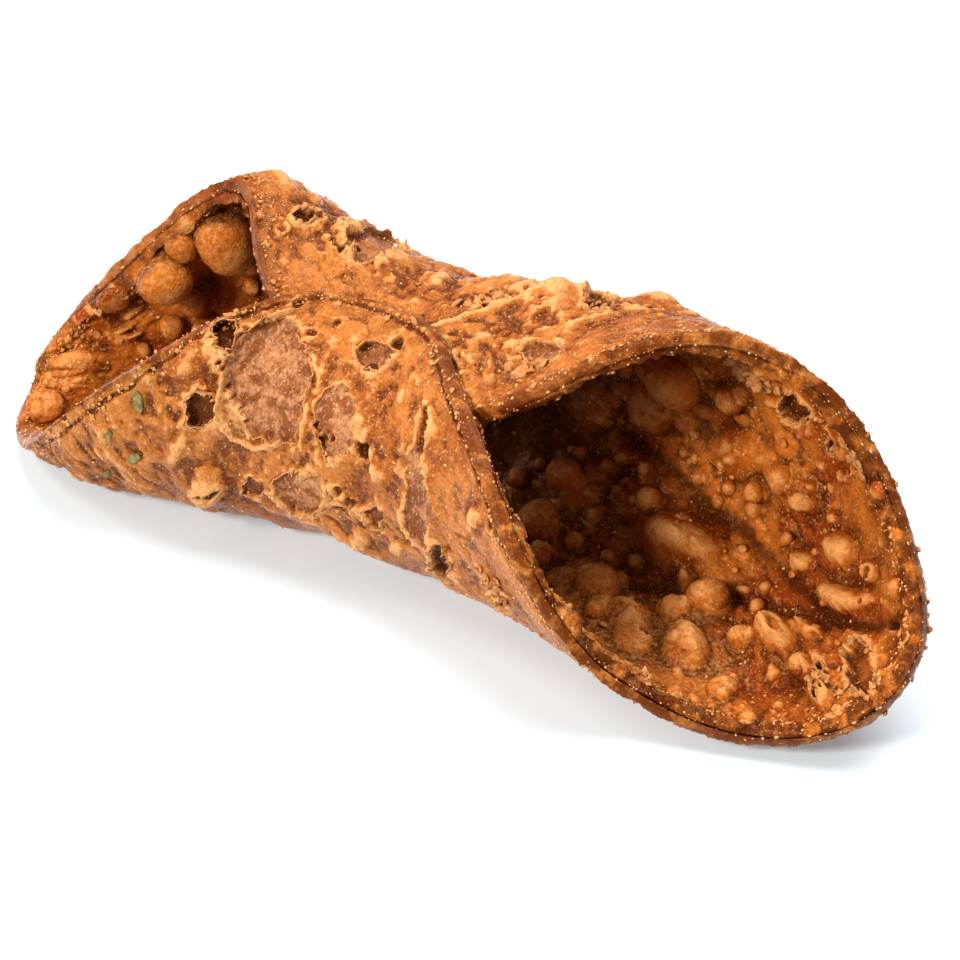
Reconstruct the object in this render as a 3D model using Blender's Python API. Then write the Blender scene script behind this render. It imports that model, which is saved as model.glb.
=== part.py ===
"""Empty cannoli shell: one sheet of fried dough wrapped once round a tube, both mouths flared open.

The sheet is drawn flat as a rounded square with soft corners, given its thickness, and wrapped round the
X axis. Sizes below are in millimetres and are scaled to metres once, when the vertices are placed.
  X runs along the tube, +X towards the wider mouth.
  -Y is the side whose flap lies on top, +Z is up, and z = 0 is the surface the shell rests on.
"""
import math

import bpy
import bmesh
from mathutils import Vector

MM = 0.001
OBJECT_NAME = "cannoli_shell"
NODE = "shell"

# Flat sheet of dough: "along" runs with the tube, "around" runs round it.
CELLS = 46
SHEET_RADIUS = 59.5
SHEET_CENTRE = (-0.5, -5.5)
WALL = 2.3
# Soft corners and flatter sides of the sheet: direction in degrees, extra reach, spread in degrees.
CORNERS = (
    (356.0, 9.0, 17.0),
    (40.0, -9.0, 22.0),
    (92.0, 2.0, 6.0),
    (108.0, 6.0, 15.0),
    (158.0, 6.3, 19.5),
    (207.5, 9.5, 21.5),
    (227.0, -5.3, 10.5),
    (282.0, 10.0, 14.0),
)

# Tube the sheet is wrapped round.
WAIST_RADIUS = 17.6
LEFT_FLARE = 2.5
RIGHT_FLARE = 5.8
# Past these stations the scoop of each mouth draws in towards its tip.
LEFT_TIP_START = 40.0
RIGHT_TIP_START = 43.0
TIP_END = 72.0
LEFT_TIP_NARROWING = 17.0
RIGHT_TIP_NARROWING = 4.0
WRAP_START = -20.0
OVAL_UPRIGHT = -0.5
OVAL_LEAN = 0.7
OVAL_LEAN_PER_MM = -0.033
# Bow of the centre line in plan, and lift of the two tips off the table.
BOW_OFFSET = 3.8
BOW_DEPTH = 15.5
BOW_HALF_LENGTH = 64.0
LEFT_TIP_LIFT = 3.7
LEFT_LIFT_RUN = 21.0
RIGHT_TIP_LIFT = 6.5
RIGHT_LIFT_RUN = 22.0
# The top flap stands proud and the lower flap tucks in, so the two never touch where they lap.
LAP_OFFSET = 1.35
TOP_FLAP_ANGLES = (60.0, 120.0)
LOWER_FLAP_ANGLES = (120.0, 190.0)

# Placing in the shared frame: middle of the footprint at the origin, resting flats at z = 0.
PLACE = (-1.49, -0.18, -0.75)

# Large blisters: along, around, half-length, half-width, height.
OUTER_BLISTERS = (
    (-21.0, 44.0, 11.0, 12.0, 1.5),
    (-30.0, 46.0, 6.0, 7.0, 1.6),
    (-28.0, 27.0, 6.0, 5.0, 1.6),
    (-15.0, 29.0, 6.5, 6.0, 1.0),
    (-9.0, 41.0, 7.0, 9.0, 1.0),
    (5.0, 37.0, 6.0, 9.0, 1.0),
    (-23.0, -43.0, 9.0, 7.0, 2.0),
    (-2.0, -43.0, 8.0, 7.0, 1.6),
    (8.0, -49.0, 9.0, 6.0, 1.8),
    (-38.0, -44.0, 7.0, 7.0, 1.2),
    (18.0, -45.0, 9.0, 7.0, 1.4),
    (30.0, -20.0, 12.0, 9.0, 1.0),
    (-10.0, -15.0, 12.0, 9.0, 1.0),
    (-40.0, -10.0, 9.0, 9.0, 0.9),
)
INNER_BLISTERS = (
    (-52.0, -27.0, 8.0, 8.0, 3.0),
    (-57.0, -18.0, 7.0, 7.0, 2.6),
    (-60.0, 6.0, 7.0, 6.0, 1.2),
    (23.0, -6.0, 13.0, 8.0, 3.2),
    (6.0, -7.0, 8.0, 7.0, 2.0),
    (8.0, 3.0, 8.0, 8.0, 2.4),
    (16.0, 8.0, 7.0, 7.0, 2.0),
    (18.0, -31.0, 8.0, 6.0, 2.2),
    (32.0, 1.0, 6.0, 6.0, 2.4),
    (26.0, 11.0, 6.5, 6.0, 2.2),
    (35.0, 8.0, 8.0, 7.0, 1.8),
    (45.0, -1.0, 7.0, 6.5, 2.4),
    (48.0, -18.0, 8.0, 6.5, 1.8),
    (51.0, -12.5, 10.0, 4.5, 2.0),
    (36.0, -22.0, 9.0, 6.0, 1.6),
)


def clear_scene():
    """Remove whatever the startup file holds."""
    for obj in list(bpy.data.objects):
        bpy.data.objects.remove(obj, do_unlink=True)
    for coll in list(bpy.data.collections):
        bpy.data.collections.remove(coll)


def ramp(value, start, end):
    """Smooth step from 0 at start to 1 at end."""
    t = min(1.0, max(0.0, (value - start) / (end - start)))
    return t * t * (3.0 - 2.0 * t)


def sheet_edge(angle_deg):
    """Distance from the sheet's centre to its edge in one direction."""
    reach = SHEET_RADIUS
    for direction, extra, spread in CORNERS:
        apart = (angle_deg - direction + 180.0) % 360.0 - 180.0
        reach += extra * math.exp(-(apart / spread) ** 2)
    return reach


def sheet_point(x, y):
    """Point of the flat dough sheet for a point of the square (-1..1, -1..1)."""
    disc_x = x * math.sqrt(1.0 - y * y / 2.0)
    disc_y = y * math.sqrt(1.0 - x * x / 2.0)
    angle = math.degrees(math.atan2(disc_y, disc_x))
    reach = sheet_edge(angle)
    return SHEET_CENTRE[0] + disc_x * reach, SHEET_CENTRE[1] + disc_y * reach


def tube_section(along):
    """Sheet radius, radius at the tips, sideways shift, height of the underside and lean at one station."""
    sheet = WAIST_RADIUS + LEFT_FLARE * ramp(-along, 18.0, 42.0) + RIGHT_FLARE * ramp(along, -15.0, 40.0)
    radius = sheet - LEFT_TIP_NARROWING * ramp(-along, LEFT_TIP_START, TIP_END)
    radius -= RIGHT_TIP_NARROWING * ramp(along, RIGHT_TIP_START, TIP_END)
    sideways = BOW_OFFSET - BOW_DEPTH * (along / BOW_HALF_LENGTH) ** 2
    rise = LEFT_TIP_LIFT * max(0.0, (-along - LEFT_TIP_START) / LEFT_LIFT_RUN) ** 2
    rise += RIGHT_TIP_LIFT * max(0.0, (along - RIGHT_TIP_START) / RIGHT_LIFT_RUN) ** 2
    lean = OVAL_LEAN + OVAL_LEAN_PER_MM * along
    return sheet, radius, sideways, rise, lean


def wrapped(along, around):
    """Point of the outer face of the wrapped sheet."""
    sheet, radius, sideways, rise, lean = tube_section(along)
    turn = math.radians(WRAP_START) + around / sheet
    turn_deg = math.degrees(turn)
    reach = radius + OVAL_UPRIGHT * math.cos(2.0 * turn) + lean * math.sin(2.0 * turn)
    reach += LAP_OFFSET * ramp(turn_deg, *TOP_FLAP_ANGLES)
    reach -= LAP_OFFSET * ramp(-turn_deg, *LOWER_FLAP_ANGLES)
    return Vector((along, sideways - reach * math.sin(turn), rise + radius - reach * math.cos(turn)))


def outward(along, around):
    """Direction square to the wrapped sheet, pointing away from the bore."""
    step = 0.1
    run = wrapped(along + step, around) - wrapped(along - step, around)
    turn = wrapped(along, around + step) - wrapped(along, around - step)
    return run.cross(turn).normalized()


def swelling(along, around, blisters):
    """Height of the large blisters over one point of the sheet."""
    height = 0.0
    for centre_along, centre_around, half_length, half_width, rise in blisters:
        offset = math.hypot((along - centre_along) / half_length, (around - centre_around) / half_width)
        if offset < 1.0:
            height = max(height, rise * (1.0 - offset * offset) ** 1.5)
    return height


def build_shell(collection):
    """Flat slab of dough, wrapped round the tube, with its blisters and resting flats."""
    mesh = bpy.data.meshes.new(NODE)
    bm = bmesh.new()
    bmesh.ops.create_grid(bm, x_segments=CELLS, y_segments=CELLS, size=1.0)
    bmesh.ops.solidify(bm, geom=bm.faces[:], thickness=WALL)
    highest = max(vert.co.z for vert in bm.verts)
    for vert in bm.verts:
        is_inner = vert.co.z < highest - WALL / 2.0
        along, around = sheet_point(vert.co.x, vert.co.y)
        normal = outward(along, around)
        place = wrapped(along, around)
        if is_inner:
            place -= normal * (WALL + swelling(along, around, INNER_BLISTERS))
        else:
            place += normal * swelling(along, around, OUTER_BLISTERS)
        place += Vector(PLACE)
        if place.z < 0.0:
            place.z = 0.0
        vert.co = place * MM
    bmesh.ops.recalc_face_normals(bm, faces=bm.faces[:])
    for face in bm.faces:
        face.smooth = True
    bm.to_mesh(mesh)
    bm.free()
    shell = bpy.data.objects.new(NODE, mesh)
    collection.objects.link(shell)
    return shell


def fried_dough():
    """Deep golden-brown fried dough with a slight sheen of oil."""
    material = bpy.data.materials.new("fried_dough")
    material.use_nodes = True
    shader = material.node_tree.nodes["Principled BSDF"]
    shader.inputs["Base Color"].default_value = (0.38, 0.15, 0.045, 1.0)
    shader.inputs["Roughness"].default_value = 0.55
    shader.inputs["Metallic"].default_value = 0.0
    return material


clear_scene()
parts = bpy.data.collections.new(OBJECT_NAME)
bpy.context.scene.collection.children.link(parts)
cannoli = build_shell(parts)
cannoli.data.materials.append(fried_dough())
low = [min(vert.co[axis] for vert in cannoli.data.vertices) / MM for axis in range(3)]
high = [max(vert.co[axis] for vert in cannoli.data.vertices) / MM for axis in range(3)]
print("box low ", [round(value, 2) for value in low])
print("box high", [round(value, 2) for value in high])
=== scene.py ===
# %% [markdown]
# # Empty cannoli shell
# A cannoli shell is one thin sheet of dough wrapped once round a metal tube and fried. The hot fat
# lifts the dough into blisters of every size, some of which burst and leave torn, ragged craters.
# The imported model gives the true size and the wrapped form. This script keeps that form and adds what
# the frying did: two blistered skins with a split between them along the cut edge, round bubbles, torn
# lips, crumbs and browning. Shade and light are also painted into the colour of hollows, tops and the
# deep inside. Lengths are worked in millimetres and turned into metres at the very end.

# %% Load the imported model
import math

import bmesh
import bpy
import numpy as np
from mathutils import Matrix, Vector, noise


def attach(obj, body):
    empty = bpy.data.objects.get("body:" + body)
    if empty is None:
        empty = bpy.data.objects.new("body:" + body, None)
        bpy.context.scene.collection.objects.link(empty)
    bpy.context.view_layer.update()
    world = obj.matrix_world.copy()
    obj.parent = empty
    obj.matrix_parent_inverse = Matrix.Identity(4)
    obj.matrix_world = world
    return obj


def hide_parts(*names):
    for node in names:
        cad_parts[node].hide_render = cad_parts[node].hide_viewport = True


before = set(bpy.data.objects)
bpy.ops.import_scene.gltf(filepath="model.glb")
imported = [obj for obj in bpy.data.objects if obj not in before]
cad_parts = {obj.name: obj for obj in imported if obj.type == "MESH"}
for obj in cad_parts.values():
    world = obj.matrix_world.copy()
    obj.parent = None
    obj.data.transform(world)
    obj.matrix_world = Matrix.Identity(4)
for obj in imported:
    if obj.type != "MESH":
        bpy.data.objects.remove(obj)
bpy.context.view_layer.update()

MM = 0.001
BODY = "root"
NODE = "shell"


def add_object(name, data):
    """New object in the scene, made from a mesh, a camera or a light."""
    made = bpy.data.objects.new(name, data)
    bpy.context.scene.collection.objects.link(made)
    return made


# %% [markdown]
# ## The camera
# Small food is best seen through a long lens from some distance, from the side and well above the table.
# Near and far parts of the piece then keep nearly the same scale, which gives a calm view of both mouths.
# The camera aims a little beside the middle of the piece, which centres it in the frame.

# %% Camera
CAMERA_AZIMUTH = math.radians(37.7)
CAMERA_HEIGHT_ANGLE = math.radians(34.0)
CAMERA_DISTANCE = 0.7
CAMERA_LENS = 210.0
AIM_MIDDLE = Vector((-1.49, -0.18, 15.25)) * MM
AIM_RIGHT = 1.95 * MM
AIM_UP = -2.39 * MM


def make_camera():
    """Long-lens camera at the front right of the piece, looking down on it."""
    towards_camera = Vector((
        math.sin(CAMERA_AZIMUTH) * math.cos(CAMERA_HEIGHT_ANGLE),
        -math.cos(CAMERA_AZIMUTH) * math.cos(CAMERA_HEIGHT_ANGLE),
        math.sin(CAMERA_HEIGHT_ANGLE),
    ))
    right = Vector((math.cos(CAMERA_AZIMUTH), math.sin(CAMERA_AZIMUTH), 0.0))
    up = towards_camera.cross(right)
    aim = AIM_MIDDLE + right * AIM_RIGHT + up * AIM_UP
    data = bpy.data.cameras.new("camera")
    data.lens = CAMERA_LENS
    camera = add_object("camera", data)
    camera.location = aim + towards_camera * CAMERA_DISTANCE
    camera.rotation_euler = (-towards_camera).to_track_quat("-Z", "Y").to_euler()
    bpy.context.scene.camera = camera
    return camera


camera = make_camera()
print("camera at, mm:", [round(value / MM, 1) for value in camera.location])

# %% [markdown]
# ## The wrapped sheet
# The dough starts as a flat rounded square. "Along" runs with the tube and "around" runs round it, both
# in millimetres of flat dough, so a blister keeps its true size wherever it sits. The formulas below wrap
# that flat sheet round a flared and slightly bowed tube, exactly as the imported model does. They take
# whole arrays of points at once, which keeps a mesh of many thousands of points quick to shape.

# %% Flat sheet and wrapped sheet
SHEET_RADIUS = 59.5
SHEET_CENTRE = (-0.5, -5.5)
WALL = 2.3
CORNERS = (
    (356.0, 9.0, 17.0),
    (40.0, -9.0, 22.0),
    (92.0, 2.0, 6.0),
    (108.0, 6.0, 15.0),
    (158.0, 6.3, 19.5),
    (207.5, 9.5, 21.5),
    (227.0, -5.3, 10.5),
    (282.0, 10.0, 14.0),
)
WAIST_RADIUS = 17.6
LEFT_FLARE = 2.5
RIGHT_FLARE = 5.8
# Past these stations the scoop of each mouth draws in towards its tip.
LEFT_TIP_START = 40.0
RIGHT_TIP_START = 43.0
TIP_END = 72.0
LEFT_TIP_NARROWING = 17.0
RIGHT_TIP_NARROWING = 4.0
WRAP_START = -20.0
OVAL_UPRIGHT = -0.5
OVAL_LEAN = 0.7
OVAL_LEAN_PER_MM = -0.033
BOW_OFFSET = 3.8
BOW_DEPTH = 15.5
BOW_HALF_LENGTH = 64.0
LEFT_TIP_LIFT = 3.7
LEFT_LIFT_RUN = 21.0
RIGHT_TIP_LIFT = 6.5
RIGHT_LIFT_RUN = 22.0
# The top flap stands proud of the tube and the lower flap tucks in.
LAP_OFFSET = 1.35
TOP_FLAP_ANGLES = (60.0, 120.0)
LOWER_FLAP_ANGLES = (120.0, 190.0)
PLACE = (-1.49, -0.18, -0.75)
SLOPE_STEP = 0.1


def ramp(value, start, end):
    """Smooth step from 0 at start to 1 at end."""
    t = np.clip((value - start) / (end - start), 0.0, 1.0)
    return t * t * (3.0 - 2.0 * t)


def bell(value, middle, width):
    """1 at the middle, falling smoothly to 0 a few widths away."""
    return np.exp(-(((value - middle) / width) ** 2))


def facing(angle_deg, middle, spread):
    """1 in one direction from the middle of the sheet, falling smoothly to 0 on both sides."""
    return bell((angle_deg - middle + 180.0) % 360.0 - 180.0, 0.0, spread)


def sheet_direction(along, around):
    """Direction of points of the sheet from its middle, in degrees."""
    return np.degrees(np.arctan2(around - SHEET_CENTRE[1], along - SHEET_CENTRE[0])) % 360.0


def sheet_edge(angle_deg):
    """Distance from the sheet's centre to its edge in one direction."""
    reach = np.full_like(angle_deg, SHEET_RADIUS)
    for direction, extra, spread in CORNERS:
        reach += extra * facing(angle_deg, direction, spread)
    return reach


def wrapped(along, around):
    """Points of the outer face of the wrapped sheet."""
    sheet = WAIST_RADIUS + LEFT_FLARE * ramp(-along, 18.0, 42.0) + RIGHT_FLARE * ramp(along, -15.0, 40.0)
    radius = sheet - LEFT_TIP_NARROWING * ramp(-along, LEFT_TIP_START, TIP_END)
    radius = radius - RIGHT_TIP_NARROWING * ramp(along, RIGHT_TIP_START, TIP_END)
    sideways = BOW_OFFSET - BOW_DEPTH * (along / BOW_HALF_LENGTH) ** 2
    rise = LEFT_TIP_LIFT * np.maximum(0.0, (-along - LEFT_TIP_START) / LEFT_LIFT_RUN) ** 2
    rise = rise + RIGHT_TIP_LIFT * np.maximum(0.0, (along - RIGHT_TIP_START) / RIGHT_LIFT_RUN) ** 2
    lean = OVAL_LEAN + OVAL_LEAN_PER_MM * along
    turn = math.radians(WRAP_START) + around / sheet
    turn_deg = np.degrees(turn)
    reach = radius + OVAL_UPRIGHT * np.cos(2.0 * turn) + lean * np.sin(2.0 * turn)
    reach = reach + LAP_OFFSET * ramp(turn_deg, *TOP_FLAP_ANGLES)
    reach = reach - LAP_OFFSET * ramp(-turn_deg, *LOWER_FLAP_ANGLES)
    points = (along, sideways - reach * np.sin(turn), rise + radius - reach * np.cos(turn))
    return np.stack(points, axis=-1) + np.array(PLACE)


def outward(along, around):
    """Directions square to the wrapped sheet, pointing away from the bore."""
    run = wrapped(along + SLOPE_STEP, around) - wrapped(along - SLOPE_STEP, around)
    turn = wrapped(along, around + SLOPE_STEP) - wrapped(along, around - SLOPE_STEP)
    normal = np.cross(run, turn)
    return normal / np.linalg.norm(normal, axis=-1, keepdims=True)


# %% [markdown]
# ## Maps of the dough
# Frying marks the dough at every scale, from broad hills to bubbles like pinheads. Each face of the sheet
# gets a set of maps over the flat dough: one for height, one for each kind of browning and one for
# painted shade. Stamps add blisters and craters to the maps, and random hills add everything too small to
# place one by one. The mesh later reads the maps, so the height and the colour of a blister always agree.

# %% Map grid and random hills
MAP_STEP = 0.15
MAP_START = (-74.0, -82.0)
MAP_SHAPE = (988, 1024)
HILL_FALLOFF = 1.23
ALONG_MAP, AROUND_MAP = np.meshgrid(
    MAP_START[0] + MAP_STEP * np.arange(MAP_SHAPE[0]),
    MAP_START[1] + MAP_STEP * np.arange(MAP_SHAPE[1]),
    indexing="ij",
)

# Direction of each map point from the middle of the sheet, and its distance from the cut edge.
SHEET_ANGLE = sheet_direction(ALONG_MAP, AROUND_MAP)
EDGE_MAP = sheet_edge(SHEET_ANGLE) - np.hypot(ALONG_MAP - SHEET_CENTRE[0], AROUND_MAP - SHEET_CENTRE[1])


def spectrum_filter(field, grain, stretch=1.0, turn_deg=0.0):
    """A map with everything finer than grain mm smoothed away, less so across a drawn-out direction."""
    turn = math.radians(turn_deg)
    along = np.fft.fftfreq(MAP_SHAPE[0], MAP_STEP)[:, None]
    around = np.fft.rfftfreq(MAP_SHAPE[1], MAP_STEP)[None, :]
    ahead = along * math.cos(turn) + around * math.sin(turn)
    aside = around * math.cos(turn) - along * math.sin(turn)
    keep = np.exp(-HILL_FALLOFF * ((ahead * grain * stretch) ** 2 + (aside * grain) ** 2))
    return np.fft.irfft2(np.fft.rfft2(field) * keep, MAP_SHAPE)


def read_map(field, along, around):
    """Values of a map at any points of the sheet, blended between its four nearest cells."""
    row = np.clip((along - MAP_START[0]) / MAP_STEP, 0.0, MAP_SHAPE[0] - 1.001)
    column = np.clip((around - MAP_START[1]) / MAP_STEP, 0.0, MAP_SHAPE[1] - 1.001)
    i, j = row.astype(int), column.astype(int)
    a, b = row - i, column - j
    near = field[i, j] * (1.0 - b) + field[i, j + 1] * b
    far = field[i + 1, j] * (1.0 - b) + field[i + 1, j + 1] * b
    return near * (1.0 - a) + far * a


# At the left tip the wrapped sheet draws in, so patterns there are made wider to look round again.
LEFT_RADIUS = WAIST_RADIUS + LEFT_FLARE
TIP_SQUEEZE = 1.0 - LEFT_TIP_NARROWING * ramp(-ALONG_MAP, LEFT_TIP_START, TIP_END) / LEFT_RADIUS


def random_hills(random, grain, stretch=1.0, turn_deg=0.0):
    """Random hills about grain mm wide on the wrapped sheet, mostly between -1 and 1."""
    field = spectrum_filter(random.standard_normal(MAP_SHAPE), grain, stretch, turn_deg)
    field = read_map(field, ALONG_MAP, AROUND_MAP * TIP_SQUEEZE)
    return field / (2.0 * field.std())


def billows(random, grain):
    """Rounded swellings about grain mm wide with sharp creases between them, mostly from -0.4 to 0.6."""
    return np.abs(random_hills(random, grain)) - 0.4


# %% Face of dough with its maps
# Wobble of every stamped outline: grain in mm and strength.
WOBBLES = ((4.0, 0.6), (1.4, 0.4), (0.55, 0.36))
# How a burst blister is shaped, in mm beyond its torn edge.
FLOOR_DROP = (-0.06, 0.18)
FLOOR_RELIEF_LEFT = 0.35
RIDGE_PLACE = 0.2
RIDGE_WIDTH = 0.22
# Where the painted shadow under a torn lip lies, and how wide it is.
LIP_SHADOW_PLACE = -0.18
LIP_SHADOW_WIDTH = 0.16


class DoughFace:
    """Height, browning and painted shade of one face of the sheet."""

    def __init__(self, seed):
        self.random = np.random.default_rng(seed)
        self.height, self.bare, self.pale, self.painted_shade = (np.zeros(MAP_SHAPE) for _ in range(4))
        self.wobble = [
            sum(random_hills(self.random, grain) * strength for grain, strength in WOBBLES) for _ in range(2)
        ]
        self.patchy = random_hills(self.random, 2.4) + 0.4 * random_hills(self.random, 0.8)

    def window(self, place, reach):
        """Rows and columns of the maps within reach of a place."""
        low = [int((value - reach - start) / MAP_STEP) for value, start in zip(place, MAP_START)]
        high = [int((value + reach - start) / MAP_STEP) + 2 for value, start in zip(place, MAP_START)]
        return tuple(
            slice(min(max(a, 0), size), min(max(b, 0), size)) for a, b, size in zip(low, high, MAP_SHAPE)
        )

    def distance(self, window, place, half, turn_deg, ragged):
        """Distance from a place, where 1 is the edge of an oval of the given half sizes."""
        turn = math.radians(turn_deg)
        along = ALONG_MAP[window] + ragged * self.wobble[0][window] - place[0]
        around = AROUND_MAP[window] + ragged * self.wobble[1][window] - place[1]
        ahead = (along * math.cos(turn) + around * math.sin(turn)) / half[0]
        aside = (around * math.cos(turn) - along * math.sin(turn)) / half[1]
        return np.hypot(ahead, aside)

    def add_domes(self, rows, power=0.75, ragged=0.15, pale=0.0, easing=0.25):
        """Domes of along, around, half-length, half-width, rise and turn. Where they meet the highest wins.
        Easing spreads the foot of the wider ones."""
        layer = np.zeros(MAP_SHAPE)
        for along, around, half_length, half_width, rise, turn_deg in rows:
            window = self.window((along, around), 1.4 * max(half_length, half_width) + 1.0)
            apart = self.distance(window, (along, around), (half_length, half_width), turn_deg, ragged)
            cap = np.clip(1.0 - apart * apart, 0.0, 1.0)
            rounding = power * (1.0 + easing * max(0.0, half_width - 1.5))
            layer[window] = np.maximum(layer[window], rise * cap**rounding)
            if pale > 0.0:
                self.pale[window] = np.maximum(self.pale[window], pale * cap**0.5)
        self.height += layer

    def scatter_domes(self, count, sizes, flatness, where=None, pale=0.0):
        """Domes of random place and size, at the points a mask lets through."""
        along = self.random.uniform(-72.0, 72.0, count)
        around = self.random.uniform(-80.0, 68.0, count)
        size = sizes[0] + (sizes[1] - sizes[0]) * self.random.random(count) ** 2.2
        oval = self.random.uniform(0.75, 1.3, count)
        rise = size * self.random.uniform(flatness[0], flatness[1], count)
        turn = self.random.uniform(0.0, 180.0, count)
        chance = self.random.random(count)
        squeeze = read_map(TIP_SQUEEZE, along, around)
        turn = np.where(squeeze < 0.95, 0.0, turn)
        rows = zip(along, around, size * oval, size / oval / squeeze, rise, turn, chance)
        kept = [
            row[:6]
            for row in rows
            if where is None or read_map(where, np.array([row[0]]), np.array([row[1]]))[0] > row[6]
        ]
        self.add_domes(kept, pale=pale)
        return len(kept)

    def raggedness(self, half_length, half_width):
        """How strongly an edge wobbles: small craters keep their shape, large ones wander."""
        return 0.36 + 0.13 * min(math.sqrt(half_length * half_width), 5.0)

    def rim_level(self, crater):
        """Height of the dough just outside a crater."""
        along, around, half_length, half_width, turn_deg = crater[:5]
        window = self.window((along, around), 1.5 * max(half_length, half_width) + 1.0)
        apart = self.distance(window, (along, around), (half_length, half_width), turn_deg, 0.0)
        near = (apart > 1.05) & (apart < 1.4)
        return float(self.height[window][near].mean()) - 0.1

    def crater(self, along, around, half_length, half_width, turn_deg, depth, lip, bare, painted_shade):
        """Burst blister: a sunken floor in painted shade, with a torn rim that stands up round it."""
        ragged = self.raggedness(half_length, half_width)
        window = self.window((along, around), 1.5 * max(half_length, half_width) + 4.0)
        apart = self.distance(window, (along, around), (half_length, half_width), turn_deg, ragged)
        beyond = (apart - 1.0) * min(math.sqrt(half_length * half_width), 4.0)
        inside = ramp(-beyond, *FLOOR_DROP)
        height = self.height[window]
        level = float(height[apart < 1.2].mean())
        floor = level - depth + FLOOR_RELIEF_LEFT * (height - level)
        standing = lip * np.clip(0.6 + 0.9 * self.patchy[window], 0.05, 1.6)
        swell = 0.8 * standing * np.exp(-np.maximum(beyond, 0.0) / (0.5 + 1.1 * lip))
        ridge = 0.5 * standing * bell(beyond, RIDGE_PLACE, RIDGE_WIDTH)
        self.height[window] = height * (1.0 - inside) + floor * inside + (swell + ridge) * (1.0 - inside)
        edge = bell(beyond, RIDGE_PLACE, 0.2) * np.clip(0.4 + 0.9 * self.patchy[window], 0.0, 1.0)
        # Painted shadow: a dark line just inside the torn edge, under the overhanging lip.
        under = bell(beyond, LIP_SHADOW_PLACE, LIP_SHADOW_WIDTH)
        under = under * np.clip(0.5 - 1.1 * self.patchy[window], 0.0, 1.0)
        self.pale[window] = np.maximum(self.pale[window] * (1.0 - inside), 0.5 * edge)
        self.bare[window] = self.bare[window] * (1.0 - inside) + bare * inside
        self.painted_shade[window] = self.painted_shade[window] * (1.0 - inside) + np.maximum(painted_shade * inside, 0.75 * under)

    def path_closeness(self, path, width, ragged=0.3):
        """Closeness to a path of points: 1 on it, falling to 0 a few widths away."""
        along = ALONG_MAP + ragged * self.wobble[0]
        around = AROUND_MAP + ragged * self.wobble[1]
        nearest = np.full(MAP_SHAPE, np.inf)
        for (a0, r0), (a1, r1) in zip(path, path[1:]):
            run, turn = a1 - a0, r1 - r0
            share = np.clip(((along - a0) * run + (around - r0) * turn) / (run**2 + turn**2), 0.0, 1.0)
            nearest = np.minimum(nearest, np.hypot(along - a0 - share * run, around - r0 - share * turn))
        return bell(nearest, 0.0, width)

    def roughen(self, rows):
        """Adds random hills. Each row is a height and a grain, both in mm."""
        for height, grain in rows:
            self.height += height * random_hills(self.random, grain)

    def stain(self, name, values):
        """Raises one map to the given values wherever it is lower."""
        setattr(self, name, np.maximum(getattr(self, name), values))

    def honeycomb(self, along, around, half_length, half_width, count, size):
        """Cluster of tiny burst bubbles, their floors darkened with painted shade."""
        for _ in range(count):
            turn = self.random.uniform(0.0, 2.0 * math.pi)
            reach = math.sqrt(self.random.random())
            place = (
                along + half_length * reach * math.cos(turn),
                around + half_width * reach * math.sin(turn),
            )
            radius = size * self.random.uniform(0.6, 1.4)
            spin = self.random.uniform(0.0, 180.0)
            self.crater(*place, radius * 1.3, radius * 0.8, spin, 0.5, 0.25, 0.0, 0.8)


# %% [markdown]
# ## The outside face
# The outside of the shell floated in the hot fat, so its largest blisters burst. Where the thin skin
# broke away it left pale, dry patches with a torn rim, and smaller bursts left holes, darkened with painted
# shade, and spongy clusters. The large hills below are those of the imported model. The named domes and
# craters are placed one by one, because a burst blister is what the eye finds first, and the rest is
# scattered at random.

# %% Broad hills and small blisters of the outside
outer = DoughFace(seed=7)
OUTER_HILLS = (
    (-21.0, 44.0, 11.0, 12.0, 1.5, 0.0),
    (-30.0, 46.0, 6.0, 7.0, 1.6, 0.0),
    (-28.0, 27.0, 6.0, 5.0, 1.6, 0.0),
    (-15.0, 29.0, 6.5, 6.0, 1.0, 0.0),
    (-9.0, 41.0, 7.0, 9.0, 1.0, 0.0),
    (5.0, 37.0, 6.0, 9.0, 1.0, 0.0),
    (-23.0, -43.0, 9.0, 7.0, 2.0, 0.0),
    (-2.0, -43.0, 8.0, 7.0, 1.6, 0.0),
    (8.0, -49.0, 9.0, 6.0, 1.8, 0.0),
    (-38.0, -44.0, 7.0, 7.0, 1.2, 0.0),
    (18.0, -45.0, 9.0, 7.0, 1.4, 0.0),
    (30.0, -20.0, 12.0, 9.0, 1.0, 0.0),
    (-10.0, -15.0, 12.0, 9.0, 1.0, 0.0),
    (-40.0, -10.0, 9.0, 9.0, 0.9, 0.0),
)
outer.add_domes(OUTER_HILLS, power=1.5, ragged=0.0)
outer.roughen(((0.40, 13.0), (0.35, 6.0)))
# Blisters gather in drifts with smoother dough between them.
outer_drifts = np.clip(0.45 + 0.9 * random_hills(outer.random, 10.0), 0.05, 1.0)
outer.height += (0.10 + 0.36 * outer_drifts) * billows(outer.random, 3.6)
outer.height += (0.03 + 0.15 * outer_drifts) * billows(outer.random, 1.5)
kept = outer.scatter_domes(800, (0.7, 2.3), (0.14, 0.30), outer_drifts)
kept += outer.scatter_domes(3000, (0.25, 0.8), (0.3, 0.6), outer_drifts, pale=0.25)
print("small blisters outside:", kept)

# %% Wrinkles of the outside
# The left of the near flap is finely wrinkled, and the far flap is combed into fibres near its edge.
wrinkled = bell(ALONG_MAP, -46.0, 15.0) * bell(AROUND_MAP, 32.0, 15.0)
combed = bell(ALONG_MAP, 3.0, 9.0) * bell(AROUND_MAP, -63.0, 8.0)
outer.height += 0.42 * wrinkled * random_hills(outer.random, 0.9, 3.0, 118.0)
outer.height += 0.42 * combed * random_hills(outer.random, 0.6, 5.0, 125.0)
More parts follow.
